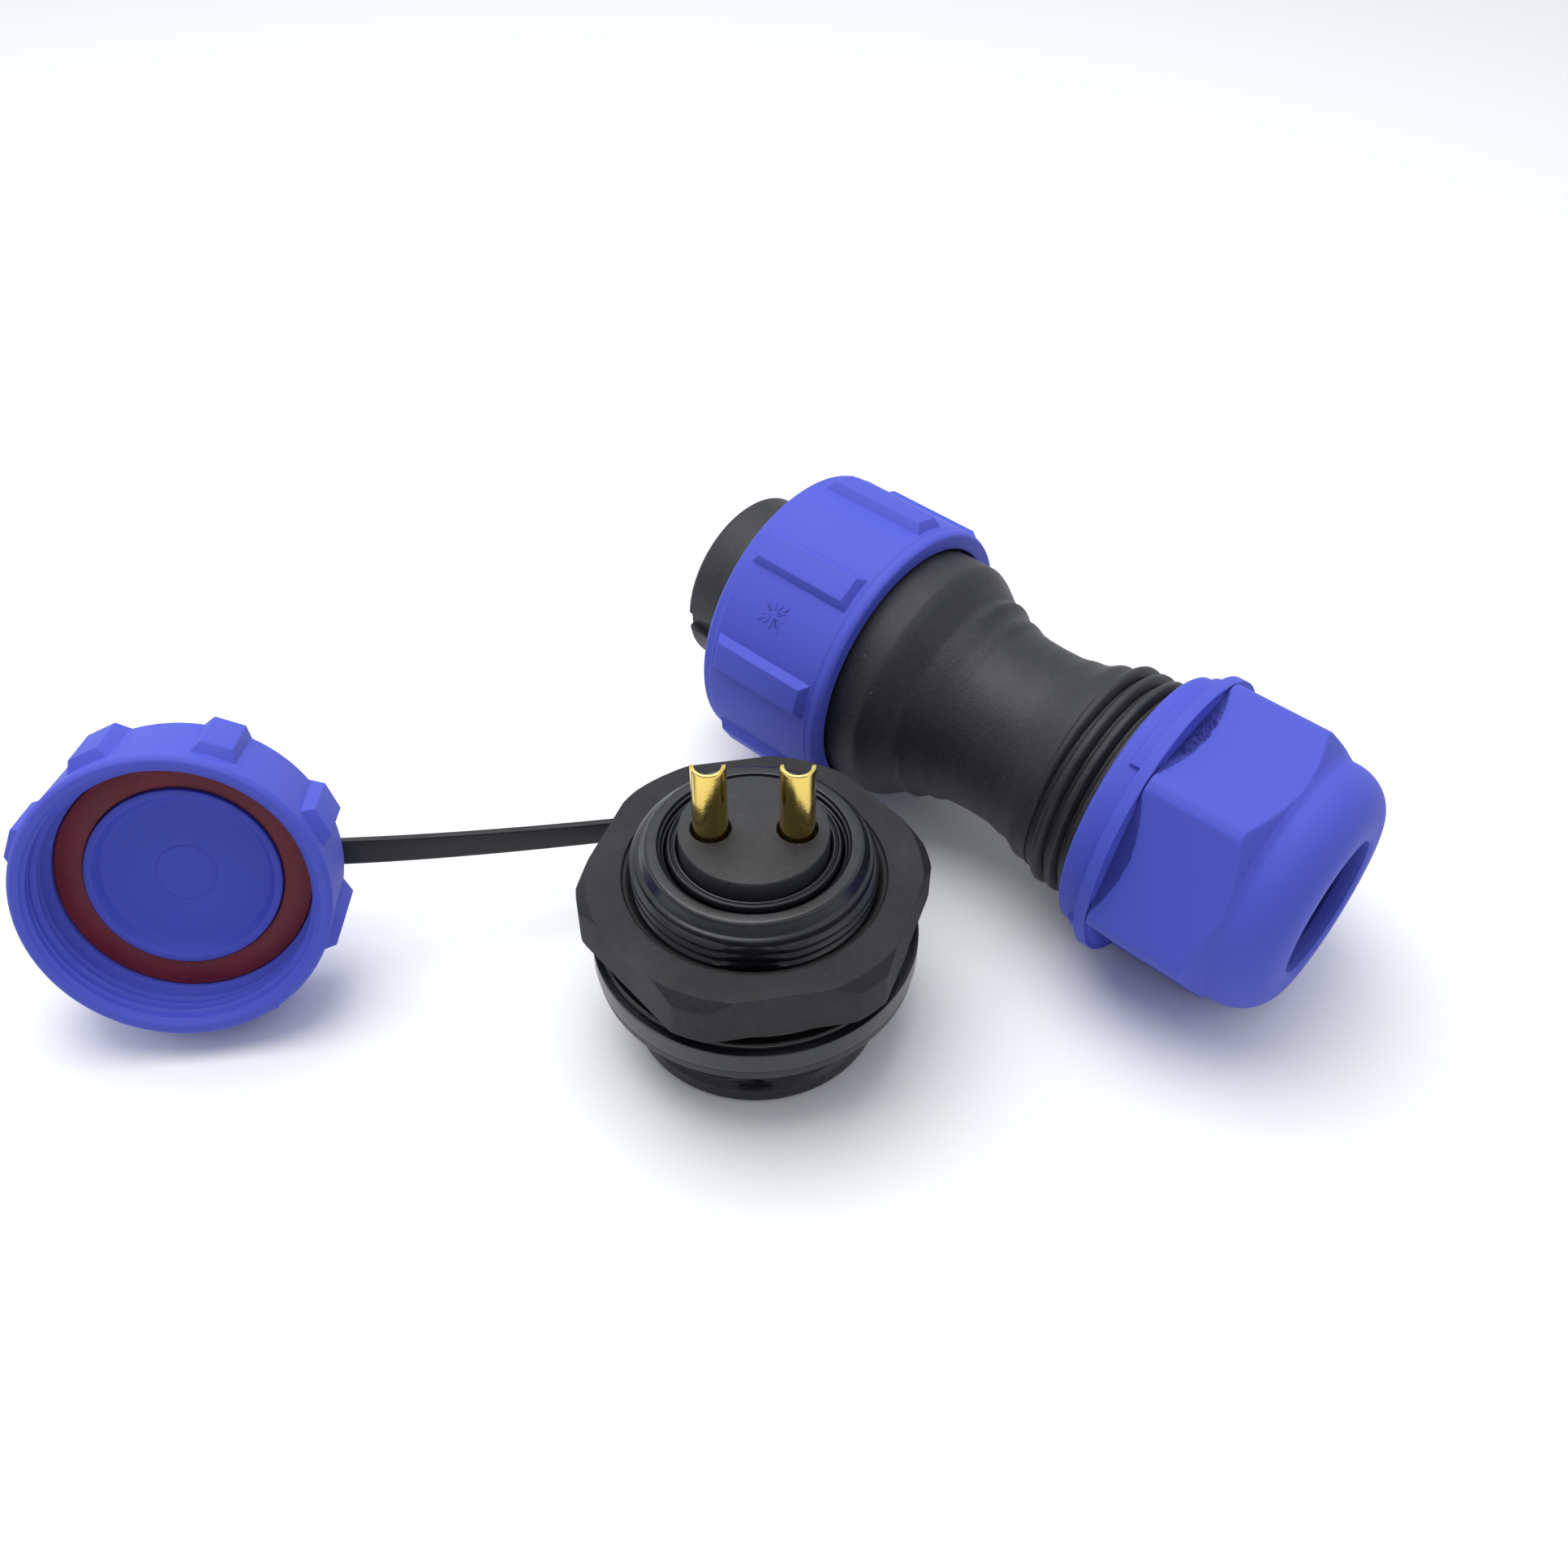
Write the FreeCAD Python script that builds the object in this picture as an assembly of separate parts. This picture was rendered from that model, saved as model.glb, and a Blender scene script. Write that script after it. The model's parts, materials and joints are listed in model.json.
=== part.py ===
"""Waterproof two-pole solar cable connector: panel receptacle with a tethered
dust cap, and a cable plug lying beside it.

The receptacle stands on its mating end with its axis on Z, so its solder cups
point up. The plug lies on its side behind it and the cap rests on its rim in
front. Every piece is built in the natural frame of its group, placed, and then
moved so that the origin is the bottom centre of the whole set. Millimetres.
"""
import FreeCAD, Part
import json
import math
import os

from FreeCAD import Placement, Rotation, Vector

# ---- driving dimensions -------------------------------------------------
# Receptacle, heights measured up from the mating end
PANEL_PITCH = 1.0              # pitch of the front and rear threads
COLLAR_CREST, COLLAR_ROOT = 11.05, 10.55
REAR_CREST, REAR_ROOT = 10.30, 9.80
NECK_R, NECK_Z0, NECK_Z1 = 10.50, 7.20, 8.45
FLANGE_R, FLANGE_Z1 = 14.0, 10.55
HOUSING_TOP = 20.75
RIM_R = 9.15
CAVITY_R, CAVITY_Z1 = 9.05, 9.50
REAR_BORE_R, REAR_BORE_Z0 = 7.30, 12.0
FLAT_AZ = -49.2                # azimuth of the moulded thread flats
COLLAR_FLAT, REAR_FLAT = 10.45, 9.88
INSULATOR_R, INSULATOR_TOP = 6.19, 22.20
PIN_OFFSET, PIN_AZ = 3.51, 40.8
CUP_R, CUP_BORE_R, CUP_TOP = 1.44, 1.08, 29.20

# Panel nut and what lies under it
NUT_AF, NUT_Z0, NUT_H, NUT_AZ = 27.0, 12.75, 4.50, 21.2
NUT_BORE_R = REAR_CREST + 0.06

# Lanyard
RING_IN, RING_OUT, RING_Z0, RING_Z1 = 10.60, 13.85, 7.30, 8.40
STRAP_T, STRAP_H, STRAP_Z = 0.80, 2.50, 7.65
LUG_AZ, LUG_R, LUG_RUN = 140.6, 16.10, 4.0
EYELET_T = 1.0

# Dust cap, heights measured from its closed face towards the mouth
CAP_L, CAP_MOUTH_R, CAP_BACK_R = 9.20, 13.00, 12.70
CAP_RIB_R, RIB_COUNT = 13.80, 8
CAP_BORE_R, CAP_ROOT_R = 11.15, 11.55
CAP_SEAT_Z, CAP_DISC_Z, CAP_DISC_R = 3.00, 4.80, 8.20
CAP_AZ, CAP_LIFT, CAP_ROLL = -41.9, 20.2, 21.5
CAP_TAIL_DROP = -8.0          # angle of the strap below level in the closed face
CAP_MOUTH_XY, CAP_MOUTH_Z = (-35.50, -33.00), 15.05
STUD_R, STUD_HEAD_R = 1.50, 2.60

# Plug, distances along its axis from the coupling ring's rear edge,
# negative towards the mating end
PLUG_XY, PLUG_Z, PLUG_DIP = (-7.10, 31.57), 14.86, 2.4
PLUG_CONTACT_ROLL = 4.0
SPIGOT_R, SPIGOT_END = 8.80, -22.40
SHELL_BORE_R = 7.00
COUPLING_R, COUPLING_RIB_R, COUPLING_L = 14.20, 14.95, 15.5
COUPLING_BORE_R, COUPLING_WEB_R, COUPLING_REAR_R = 11.12, 10.0, 12.75
COUPLING_REAR_S, COUPLING_ROLL = -1.20, 31.0
GLAND_PITCH, GLAND_CREST, GLAND_ROOT = 2.0, 10.95, 10.20
GLAND_BORE_R = GLAND_CREST + 0.07
BODY_R, WAIST_R, BODY_END = 11.65, 8.75, 30.5
GLAND_S0, GLAND_FLANGE_S, GLAND_HEX_S, GLAND_DOME_S, GLAND_END = 25.0, 27.6, 28.7, 38.4, 44.1
GLAND_AF, GLAND_FLANGE_R, GLAND_SKIRT_R = 24.2, 13.67, 12.4
GLAND_ROLL = 8.0
CABLE_HOLE_R, SEAL_BORE_R = 6.40, 4.50


# ---- shape helpers ------------------------------------------------------
def lathe(points):
    """Solid turned about Z from a closed outline of (radius, height) points."""
    loop = [Vector(r, 0, z) for r, z in points]
    face = Part.Face(Part.makePolygon(loop + loop[:1]))
    return face.revolve(Vector(0, 0, 0), Vector(0, 0, 1), 360)


def tube(r_out, r_in, z0, z1, chamfer=0.0):
    """Plain ring with both outer edges chamfered."""
    c = chamfer
    outline = [(r_in, z0), (r_out - c, z0), (r_out, z0 + c), (r_out, z1 - c), (r_out - c, z1), (r_in, z1)]
    if not c:
        outline = [(r_in, z0), (r_out, z0), (r_out, z1), (r_in, z1)]
    return lathe(outline)


def rod(r, z0, z1, x=0.0, y=0.0):
    return Part.makeCylinder(r, z1 - z0, Vector(x, y, z0))


def thread(root, crest, z0, turns, pitch):
    """Outline points of a run of thread ridges, going up from z0."""
    points = []
    for turn in range(turns):
        z = z0 + turn * pitch
        points += [(root, z), (crest, z + 0.30 * pitch), (crest, z + 0.50 * pitch), (root, z + 0.80 * pitch)]
    return points


def polar(r, azimuth, z=0.0):
    a = math.radians(azimuth)
    return Vector(r * math.cos(a), r * math.sin(a), z)


def turned(shape, degrees):
    """Copy of a shape turned about Z."""
    copy = shape.copy()
    copy.rotate(Vector(0, 0, 0), Vector(0, 0, 1), degrees)
    return copy


def block(x0, x1, y0, y1, z0, z1):
    return Part.makeBox(x1 - x0, y1 - y0, z1 - z0, Vector(x0, y0, z0))


def with_flats(shape, distance, azimuth, z0, z1):
    """Cut two opposite flats at a distance from the axis."""
    for side in (0, 180):
        cutter = turned(block(distance, distance + 8, -12, 12, z0, z1), azimuth + side)
        shape = shape.cut(cutter)
    return shape


def hexagon(across_flats, z0, z1, azimuth):
    """Hexagonal prism with one flat facing the azimuth."""
    corner = across_flats / 2 / math.cos(math.pi / 6)
    loop = [polar(corner, azimuth + 30 + 60 * k, z0) for k in range(7)]
    return Part.Face(Part.makePolygon(loop)).extrude(Vector(0, 0, z1 - z0))


def rectangle_at(r, width, z0, z1):
    """Closed wire of a rectangle standing at x = r."""
    corners = [(-width / 2, z0), (width / 2, z0), (width / 2, z1), (-width / 2, z1), (-width / 2, z0)]
    return Part.makePolygon([Vector(r, y, z) for y, z in corners])


def grip_ribs(r_base, r_top, z0, z1, width, roll):
    """Ring of grip ribs whose sides and ends all slope."""
    slope = 0.75
    rib = Part.makeLoft([rectangle_at(r_base - 0.6, width + 0.9, z0 - 0.35, z1 + 0.35),
                         rectangle_at(r_top, width - 1.0, z0 + slope, z1 - slope)], True, True)
    return [turned(rib, roll + k * 360 / RIB_COUNT) for k in range(RIB_COUNT)]


def fused(shapes):
    whole = shapes[0]
    for shape in shapes[1:]:
        whole = whole.fuse(shape)
    return whole.removeSplitter()


# ---- receptacle ---------------------------------------------------------
def receptacle_housing():
    outline = [(0, 0), (COLLAR_CREST - 0.35, 0), (COLLAR_CREST, 0.35), (COLLAR_CREST, 1.6)]
    outline += thread(COLLAR_ROOT, COLLAR_CREST, 1.9, 5, PANEL_PITCH)
    outline += [(NECK_R, NECK_Z0), (NECK_R, NECK_Z1), (FLANGE_R - 0.2, NECK_Z1), (FLANGE_R, NECK_Z1 + 0.2),
                (FLANGE_R, FLANGE_Z1 - 0.25), (FLANGE_R - 0.25, FLANGE_Z1), (REAR_ROOT - 0.1, FLANGE_Z1)]
    outline += thread(REAR_ROOT, REAR_CREST, FLANGE_Z1 + 0.8, 8, PANEL_PITCH)
    outline += [(REAR_ROOT, 19.6), (REAR_ROOT, 20.0), (RIM_R + 0.35, 20.45), (RIM_R, HOUSING_TOP), (0, HOUSING_TOP)]
    body = lathe(outline)
    body = with_flats(body, COLLAR_FLAT, FLAT_AZ, 1.6, NECK_Z0)
    body = with_flats(body, REAR_FLAT, FLAT_AZ, FLANGE_Z1 + 0.5, 19.6)
    for cutter in (rod(CAVITY_R, -1, CAVITY_Z1), rod(6.60, 5, 15), rod(REAR_BORE_R, REAR_BORE_Z0, 25)):
        body = body.cut(cutter)
    key = turned(block(8.35, CAVITY_R + 0.4, -0.8, 0.8, 1.2, CAVITY_Z1 + 0.1), PIN_AZ + 90)
    return body.fuse(key).removeSplitter()


def receptacle_insulator():
    body = lathe([(0, 7.5), (6.35, 7.5), (6.55, 7.7), (6.55, 12), (7.25, 12), (7.25, 17.5),
                  (INSULATOR_R, 17.5), (INSULATOR_R, INSULATOR_TOP - 0.15), (INSULATOR_R - 0.15, INSULATOR_TOP),
                  (0, INSULATOR_TOP)])
    for side in (0, 180):
        at = polar(PIN_OFFSET, PIN_AZ + side)
        body = body.cut(rod(1.23, 7, 10, at.x, at.y))
        body = body.cut(rod(1.53, 9, 25, at.x, at.y))
        body = body.cut(rod(1.70, 20.9, 25, at.x, at.y))
    return body


def contact_pin(side):
    """Turned pin with a solder cup cut open on the side away from the flats."""
    pin = lathe([(0, 1.8), (0.55, 1.8), (1.0, 2.15), (1.2, 2.9), (1.2, 9.05), (1.5, 9.05), (1.5, 20.3),
                 (CUP_R, 20.5), (CUP_R, CUP_TOP), (0, CUP_TOP)])
    pin = pin.cut(rod(CUP_BORE_R, 23.2, 31))
    scoop = Part.Face(Part.makePolygon([Vector(-2, 0.05, 31), Vector(-2, 0.05, 25.2), Vector(-2, 0.5, 24.3),
                                        Vector(-2, 3, 23.6), Vector(-2, 3, 31), Vector(-2, 0.05, 31)]))
    pin = pin.cut(scoop.extrude(Vector(4, 0, 0)))
    pin = turned(pin, FLAT_AZ + 90)
    pin.translate(polar(PIN_OFFSET, PIN_AZ + side))
    return pin


def insulator_o_ring():
    return Part.makeTorus(6.745, 0.46, Vector(0, 0, 17.98))


def insulator_retaining_ring():
    ring = lathe([(6.27, 18.55), (7.22, 18.55), (7.22, 20.45), (7.10, 20.60), (6.85, 20.60), (6.72, 20.42),
                  (6.60, 20.60), (6.40, 20.60), (6.27, 20.47)])
    return with_notches(ring, 6.0, 7.6, 1.1, 20.0, 21.0, FLAT_AZ + 40)


def with_notches(shape, r0, r1, width, z0, z1, azimuth):
    """Cut two opposite spanner notches."""
    for side in (0, 180):
        shape = shape.cut(turned(block(r0, r1, -width / 2, width / 2, z0, z1), azimuth + side))
    return shape


def flange_gasket():
    return tube(13.45, REAR_CREST + 0.12, FLANGE_Z1, FLANGE_Z1 + 0.70, 0.15)


def nut_slip_washer():
    return tube(13.20, REAR_CREST + 0.10, NUT_Z0 - 0.80, NUT_Z0 - 0.05, 0.1)


def panel_nut():
    top = NUT_Z0 + NUT_H
    nut = hexagon(NUT_AF, NUT_Z0, top, NUT_AZ)
    nut = nut.common(lathe([(0, NUT_Z0), (14.3, NUT_Z0), (15.0, NUT_Z0 + 0.45), (15.0, top - 0.9),
                            (14.0, top), (0, top)]))
    bore = lathe([(0, NUT_Z0 - 1), (NUT_BORE_R + 1.4, NUT_Z0 - 1), (NUT_BORE_R, NUT_Z0 + 0.4),
                  (NUT_BORE_R, top - 0.3), (NUT_BORE_R + 0.8, top + 0.5), (0, top + 0.5)])
    return nut.cut(bore)


# ---- lanyard and cap ----------------------------------------------------
STRAP_DIR = polar(1, LUG_AZ - 270)              # from the lug towards the cap
LUG_TANGENT = polar(LUG_R, LUG_AZ)
STRAP_HINGE = LUG_TANGENT + STRAP_DIR * LUG_RUN + Vector(0, 0, STRAP_Z)

CAP_NORMAL = polar(math.cos(math.radians(CAP_LIFT)), CAP_AZ, math.sin(math.radians(CAP_LIFT)))
CAP_BACK = Vector(*CAP_MOUTH_XY, CAP_MOUTH_Z) - CAP_NORMAL * CAP_L
CAP_SIDE = polar(1, CAP_AZ + 90)                # level direction in the closed face
EYELET = CAP_BACK - CAP_NORMAL * 0.60
TAIL_DIR = Rotation(CAP_NORMAL, CAP_TAIL_DROP).multVec(CAP_SIDE)


def band(x0, x1, y, z0, z1):
    """Upright strip along local X with both ends rounded."""
    r = STRAP_T / 2
    strip = block(x0 + r, x1 - r, y - r, y + r, z0, z1)
    ends = [rod(r, z0, z1, x, y) for x in (x0 + r, x1 - r)]
    return fused([strip] + ends)


def lanyard_ring():
    ring = tube(RING_OUT, RING_IN, RING_Z0, RING_Z1, 0.2)
    web = block(RING_OUT - 0.6, LUG_R, -1.6, 1.6, RING_Z0, RING_Z1)
    run = band(-2.2, LUG_RUN - 0.05, 0, STRAP_Z - STRAP_H / 2, STRAP_Z + STRAP_H / 2)
    run = turned(run, -90)
    run.translate(Vector(LUG_R, 0, 0))
    return fused([ring, turned(web, LUG_AZ), turned(run, LUG_AZ)])


def strap_section(at, along, flat):
    """Closed wire of the strap's section at a point of its route."""
    wide = along.cross(flat).normalize()
    a, b = flat * (STRAP_T / 2), wide * (STRAP_H / 2)
    corners = [at + a + b, at - a + b, at - a - b, at + a - b]
    return Part.makePolygon(corners + corners[:1])


def strap_route(t):
    """Point and direction of the strap at 0 (lug) to 1 (eyelet)."""
    start = STRAP_HINGE + STRAP_DIR * 0.5
    end = EYELET + TAIL_DIR * 3.0
    p = (start, start + STRAP_DIR * 11.0, end + TAIL_DIR * 11.0, end)
    s = 1 - t
    at = p[0] * s**3 + p[1] * 3 * s * s * t + p[2] * 3 * s * t * t + p[3] * t**3
    along = (p[1] - p[0]) * s * s + (p[2] - p[1]) * 2 * s * t + (p[3] - p[2]) * t * t
    return at, along.normalize()


def lanyard_strap():
    steps = 10
    flat_start, flat_end = polar(1, LUG_AZ - 180), CAP_NORMAL
    sections = []
    for k in range(steps + 1):
        at, along = strap_route(k / steps)
        ease = 3 * (k / steps)**2 - 2 * (k / steps)**3
        flat = flat_start * (1 - ease) + flat_end * ease
        flat = (flat - along * flat.dot(along)).normalize()
        sections.append(strap_section(at, along, flat))
    strip = Part.makeLoft(sections, True, False)
    root = rod(STRAP_T / 2 + 0.06, -STRAP_H / 2 - 0.05, STRAP_H / 2 + 0.05)
    root.translate(strap_route(0)[0])
    eyelet = rod(3.4, -EYELET_T / 2, EYELET_T / 2)
    eyelet.Placement = Placement(EYELET, Rotation(Vector(0, 0, 1), CAP_NORMAL))
    hole = rod(STUD_R + 0.08, -3, 3)
    hole.Placement = eyelet.Placement
    return fused([strip, root, eyelet]).cut(hole)


def cap_shell():
    outline = [(0, 0), (CAP_BACK_R - 0.5, 0), (CAP_BACK_R, 0.5), (CAP_MOUTH_R, CAP_L - 0.4),
               (CAP_MOUTH_R - 0.4, CAP_L), (CAP_ROOT_R + 0.25, CAP_L), (CAP_ROOT_R, CAP_L - 0.3)]
    for turn in range(3):
        z = CAP_L - 1.0 - turn * PANEL_PITCH
        outline += [(CAP_ROOT_R, z), (CAP_BORE_R, z - 0.3), (CAP_BORE_R, z - 0.5), (CAP_ROOT_R, z - 0.8)]
    outline += [(CAP_ROOT_R, CAP_DISC_Z + 0.35), (CAP_BORE_R - 0.4, CAP_DISC_Z), (CAP_BORE_R - 0.4, CAP_SEAT_Z),
                (CAP_DISC_R, CAP_SEAT_Z), (CAP_DISC_R, CAP_DISC_Z - 0.15), (CAP_DISC_R - 0.15, CAP_DISC_Z),
                (CAP_DISC_R - 0.8, CAP_DISC_Z), (CAP_DISC_R - 1.1, CAP_DISC_Z - 0.4), (0, CAP_DISC_Z - 0.4)]
    shell = lathe(outline)
    ribs = grip_ribs(CAP_BACK_R, CAP_RIB_R, 0.9, CAP_L - 1.7, 3.2, 0)
    return fused([shell] + ribs).cut(rod(STUD_R + 0.02, -1, 2.3))


def cap_gasket():
    return tube(CAP_BORE_R - 0.45, CAP_DISC_R + 0.05, CAP_SEAT_Z, CAP_SEAT_Z + 1.50, 0.1)


def cap_stud():
    return lathe([(0, -2.05), (1.7, -2.05), (STUD_HEAD_R, -1.65), (STUD_HEAD_R, -1.18), (STUD_R, -1.18),
                  (STUD_R, 1.9), (1.25, 2.2), (0, 2.2)])


# ---- plug ---------------------------------------------------------------
def plug_shell():
    shell = lathe([(SHELL_BORE_R, SPIGOT_END + 0.3), (SHELL_BORE_R + 0.3, SPIGOT_END), (SPIGOT_R - 0.4, SPIGOT_END),
                   (SPIGOT_R, SPIGOT_END + 0.4), (SPIGOT_R, -7.8), (10.9, -7.8), (10.9, -6.15), (9.9, -6.15),
                   (9.9, -4.15), (9.3, -4.15), (9.3, -3.15), (9.4, -3.15), (9.4, 2.0), (7.8, 2.0), (7.8, -1.0),
                   (SHELL_BORE_R, -1.0)])
    groove = block(8.0, 9.2, -1.05, 1.05, SPIGOT_END - 1, -11.8)
    return shell.cut(turned(groove, PLUG_CONTACT_ROLL + 90))


def plug_insulator():
    body = lathe([(0, -21.4), (6.75, -21.4), (6.95, -21.2), (6.95, -1.0), (7.75, -1.0), (7.75, 1.5), (0, 1.5)])
    for side in (0, 180):
        at = polar(PIN_OFFSET, PLUG_CONTACT_ROLL + side)
        body = body.cut(rod(1.40, -23, -19, at.x, at.y)).cut(rod(1.93, -20.5, 3, at.x, at.y))
    return body


def socket_contact(side):
    """Turned socket with an open solder cup at its cable end."""
    socket = lathe([(1.25, -20.4), (1.7, -20.4), (1.9, -20.1), (1.9, 1.2), (CUP_R, 1.2), (CUP_R, 8.0),
                    (CUP_BORE_R, 8.0), (CUP_BORE_R, 2.4), (0, 2.4), (0, -11.5), (1.25, -12.0)])
    socket = socket.cut(block(0.1, 3, -3, 3, 3.6, 9))
    socket = turned(socket, PLUG_CONTACT_ROLL + 90)
    socket.translate(polar(PIN_OFFSET, PLUG_CONTACT_ROLL + side))
    return socket


def plug_face_seal():
    return Part.makeTorus(9.50, 0.66, Vector(0, 0, -8.5))


def ring_retainer():
    """Split snap ring in the shell's groove."""
    ring = tube(11.2, 9.36, -4.10, -3.20)
    return ring.cut(block(8, 13, -1.2, 1.2, -5, -2))


def coupling_ring():
    front = -COUPLING_L
    shell = lathe([(COUPLING_BORE_R + 0.4, front), (COUPLING_R - 0.5, front), (COUPLING_R, front + 0.5), (COUPLING_R, COUPLING_REAR_S - 0.4),
                   (COUPLING_R - 0.3, COUPLING_REAR_S), (COUPLING_REAR_R, COUPLING_REAR_S), (COUPLING_REAR_R, -4.2),
                   (COUPLING_WEB_R, -4.2), (COUPLING_WEB_R, -6.0), (COUPLING_BORE_R + 0.15, -6.0),
                   (COUPLING_BORE_R, -6.6), (COUPLING_BORE_R, front + 0.4)])
    ribs = grip_ribs(COUPLING_R, COUPLING_RIB_R, front + 1.9, -2.9, 3.4, COUPLING_ROLL)
    return fused([shell] + ribs)


def plug_body():
    outline = [(9.45, -2.9), (BODY_R - 0.3, -2.9), (BODY_R, -2.6), (BODY_R, 3.0), (11.20, 4.1), (10.35, 5.2),
               (10.25, 6.3), (9.30, 7.5), (WAIST_R, 9.4), (WAIST_R, 14.6), (9.00, 15.8), (10.00, 17.9), (10.00, 20.0)]
    outline += thread(GLAND_ROOT, GLAND_CREST, 20.4, 4, GLAND_PITCH)
    outline += [(GLAND_ROOT, 29.0), (GLAND_ROOT, BODY_END - 0.5), (GLAND_ROOT - 0.5, BODY_END), (8.60, BODY_END),
                (8.60, 18.6), (7.20, 17.2), (7.20, 3.2), (9.45, 3.2)]
    body = lathe(outline)
    return with_flats(body, 10.75, GLAND_ROLL + 75, 3.2, 7.4)


def body_o_ring():
    return Part.makeTorus(8.55, 0.52, Vector(0, 0, 2.60))


def cable_clamp():
    """Claw collet: a plain sleeve whose rear half is split into fingers."""
    clamp = lathe([(6.55, 19.0), (8.30, 19.0), (8.50, 19.2), (8.50, 33.0), (8.10, 35.5), (7.55, 38.0),
                   (6.55, 38.0)])
    for k in range(10):
        clamp = clamp.cut(turned(block(5, 10, -0.35, 0.35, 30.9, 42), 36 * k))
    return clamp


def cable_seal():
    return lathe([(SEAL_BORE_R, 27.5), (6.10, 27.5), (6.45, 27.9), (6.45, 38.0), (6.10, 38.4), (SEAL_BORE_R + 0.3, 38.4),
                  (SEAL_BORE_R, 38.1)])


def gland_slip_ring():
    return tube(GLAND_BORE_R - 0.05, 9.0, 33.4, 34.6, 0.1)


def gland_nut():
    dome = [(11.8, GLAND_DOME_S + 0.3)]
    for k in range(7):
        a = math.radians(15 * k)
        dome.append((7.9 + 3.8 * math.cos(a), GLAND_END - 4.1 + 4.1 * math.sin(a)))
    cone = [(CABLE_HOLE_R + 0.3, GLAND_END), (CABLE_HOLE_R, GLAND_END - 0.3), (CABLE_HOLE_R, 42.6), (7.0, 41.8),
            (GLAND_BORE_R, 35.2), (GLAND_BORE_R, GLAND_S0 + 0.4), (GLAND_BORE_R + 0.4, GLAND_S0)]
    outline = [(GLAND_SKIRT_R - 0.3, GLAND_S0), (GLAND_SKIRT_R, GLAND_S0 + 0.3), (GLAND_SKIRT_R, GLAND_FLANGE_S),
               (GLAND_FLANGE_R - 0.15, GLAND_FLANGE_S), (GLAND_FLANGE_R, GLAND_FLANGE_S + 0.15),
               (GLAND_FLANGE_R, GLAND_HEX_S - 0.15), (GLAND_FLANGE_R - 0.15, GLAND_HEX_S), (11.6, GLAND_HEX_S),
               (11.6, GLAND_DOME_S)]
    barrel = lathe(outline + dome + cone)
    prism = hexagon(GLAND_AF, GLAND_HEX_S - 0.1, GLAND_DOME_S, GLAND_ROLL)
    prism = prism.common(lathe([(0, 27), (13.7, 27), (13.7, GLAND_DOME_S - 1.1), (12.3, GLAND_DOME_S),
                                (0, GLAND_DOME_S)]))
    prism = prism.cut(rod(11.3, 20, 50))
    return fused([barrel, prism])


# ---- placing ------------------------------------------------------------
def plug_placement():
    """Plug axis towards +X, dipping slightly, from the ring's rear edge."""
    dip = math.radians(PLUG_DIP)
    axis = Vector(math.cos(dip), 0, -math.sin(dip))
    up = Vector(math.sin(dip), 0, math.cos(dip))
    return Placement(Vector(*PLUG_XY, PLUG_Z), Rotation(up, axis.cross(up), axis, "XYZ"))


def cap_placement():
    """Cap axis from the closed face to the mouth."""
    up = (Vector(0, 0, 1) - CAP_NORMAL * CAP_NORMAL.z).normalize()
    upright = Rotation(up, CAP_NORMAL.cross(up), CAP_NORMAL, "XYZ")
    return Placement(CAP_BACK, upright.multiply(Rotation(Vector(0, 0, 1), CAP_ROLL)))


FIXED = Placement()
PIECES = {
    "receptacle_housing": (receptacle_housing, FIXED),
    "receptacle_insulator": (receptacle_insulator, FIXED),
    "contact_pin_a": (lambda: contact_pin(0), FIXED),
    "contact_pin_b": (lambda: contact_pin(180), FIXED),
    "insulator_o_ring": (insulator_o_ring, FIXED),
    "insulator_retaining_ring": (insulator_retaining_ring, FIXED),
    "flange_gasket": (flange_gasket, FIXED),
    "nut_slip_washer": (nut_slip_washer, FIXED),
    "panel_nut": (panel_nut, FIXED),
    "lanyard_ring": (lanyard_ring, FIXED),
    "lanyard_strap": (lanyard_strap, FIXED),
    "cap_shell": (cap_shell, cap_placement()),
    "cap_gasket": (cap_gasket, cap_placement()),
    "cap_stud": (cap_stud, cap_placement()),
    "plug_shell": (plug_shell, plug_placement()),
    "plug_insulator": (plug_insulator, plug_placement()),
    "socket_contact_a": (lambda: socket_contact(0), plug_placement()),
    "socket_contact_b": (lambda: socket_contact(180), plug_placement()),
    "plug_face_seal": (plug_face_seal, plug_placement()),
    "ring_retainer": (ring_retainer, plug_placement()),
    "coupling_ring": (coupling_ring, plug_placement()),
    "plug_body": (plug_body, plug_placement()),
    "body_o_ring": (body_o_ring, plug_placement()),
    "cable_clamp": (cable_clamp, plug_placement()),
    "cable_seal": (cable_seal, plug_placement()),
    "gland_slip_ring": (gland_slip_ring, plug_placement()),
    "gland_nut": (gland_nut, plug_placement()),
}


def place(shape, placement):
    copy = shape.copy()
    copy.Placement = placement.multiply(shape.Placement)
    return copy


def main():
    os.makedirs("parts", exist_ok=True)
    shapes = {name: place(make(), placement) for name, (make, placement) in PIECES.items()}
    box = FreeCAD.BoundBox()
    for shape in shapes.values():
        box.add(shape.optimalBoundingBox(False))
    shift = Vector(-box.Center.x, -box.Center.y, -box.ZMin)
    for name, shape in shapes.items():
        low = shape.optimalBoundingBox(False).ZMin
        shape.translate(shift)
        shape.exportStep(f"parts/{name}.step")
        print(f"{name:26s} valid={shape.isValid()} solids={len(shape.Solids)} volume={shape.Volume:9.2f} low={low:6.2f}")
    plug_axis = plug_placement().Rotation.multVec(Vector(0, 0, 1))
    places = {
        "box": [box.XLength, box.YLength, box.ZLength],
        "receptacle": list(shift),
        "strap_hinge": list(STRAP_HINGE + shift),
        "cap_back": list(CAP_BACK + shift),
        "cap_axis": list(CAP_NORMAL),
        "plug": list(Vector(*PLUG_XY, PLUG_Z) + shift),
        "plug_axis": list(plug_axis),
    }
    print(json.dumps(places))


if __name__ == "__main__":
    main()
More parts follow.
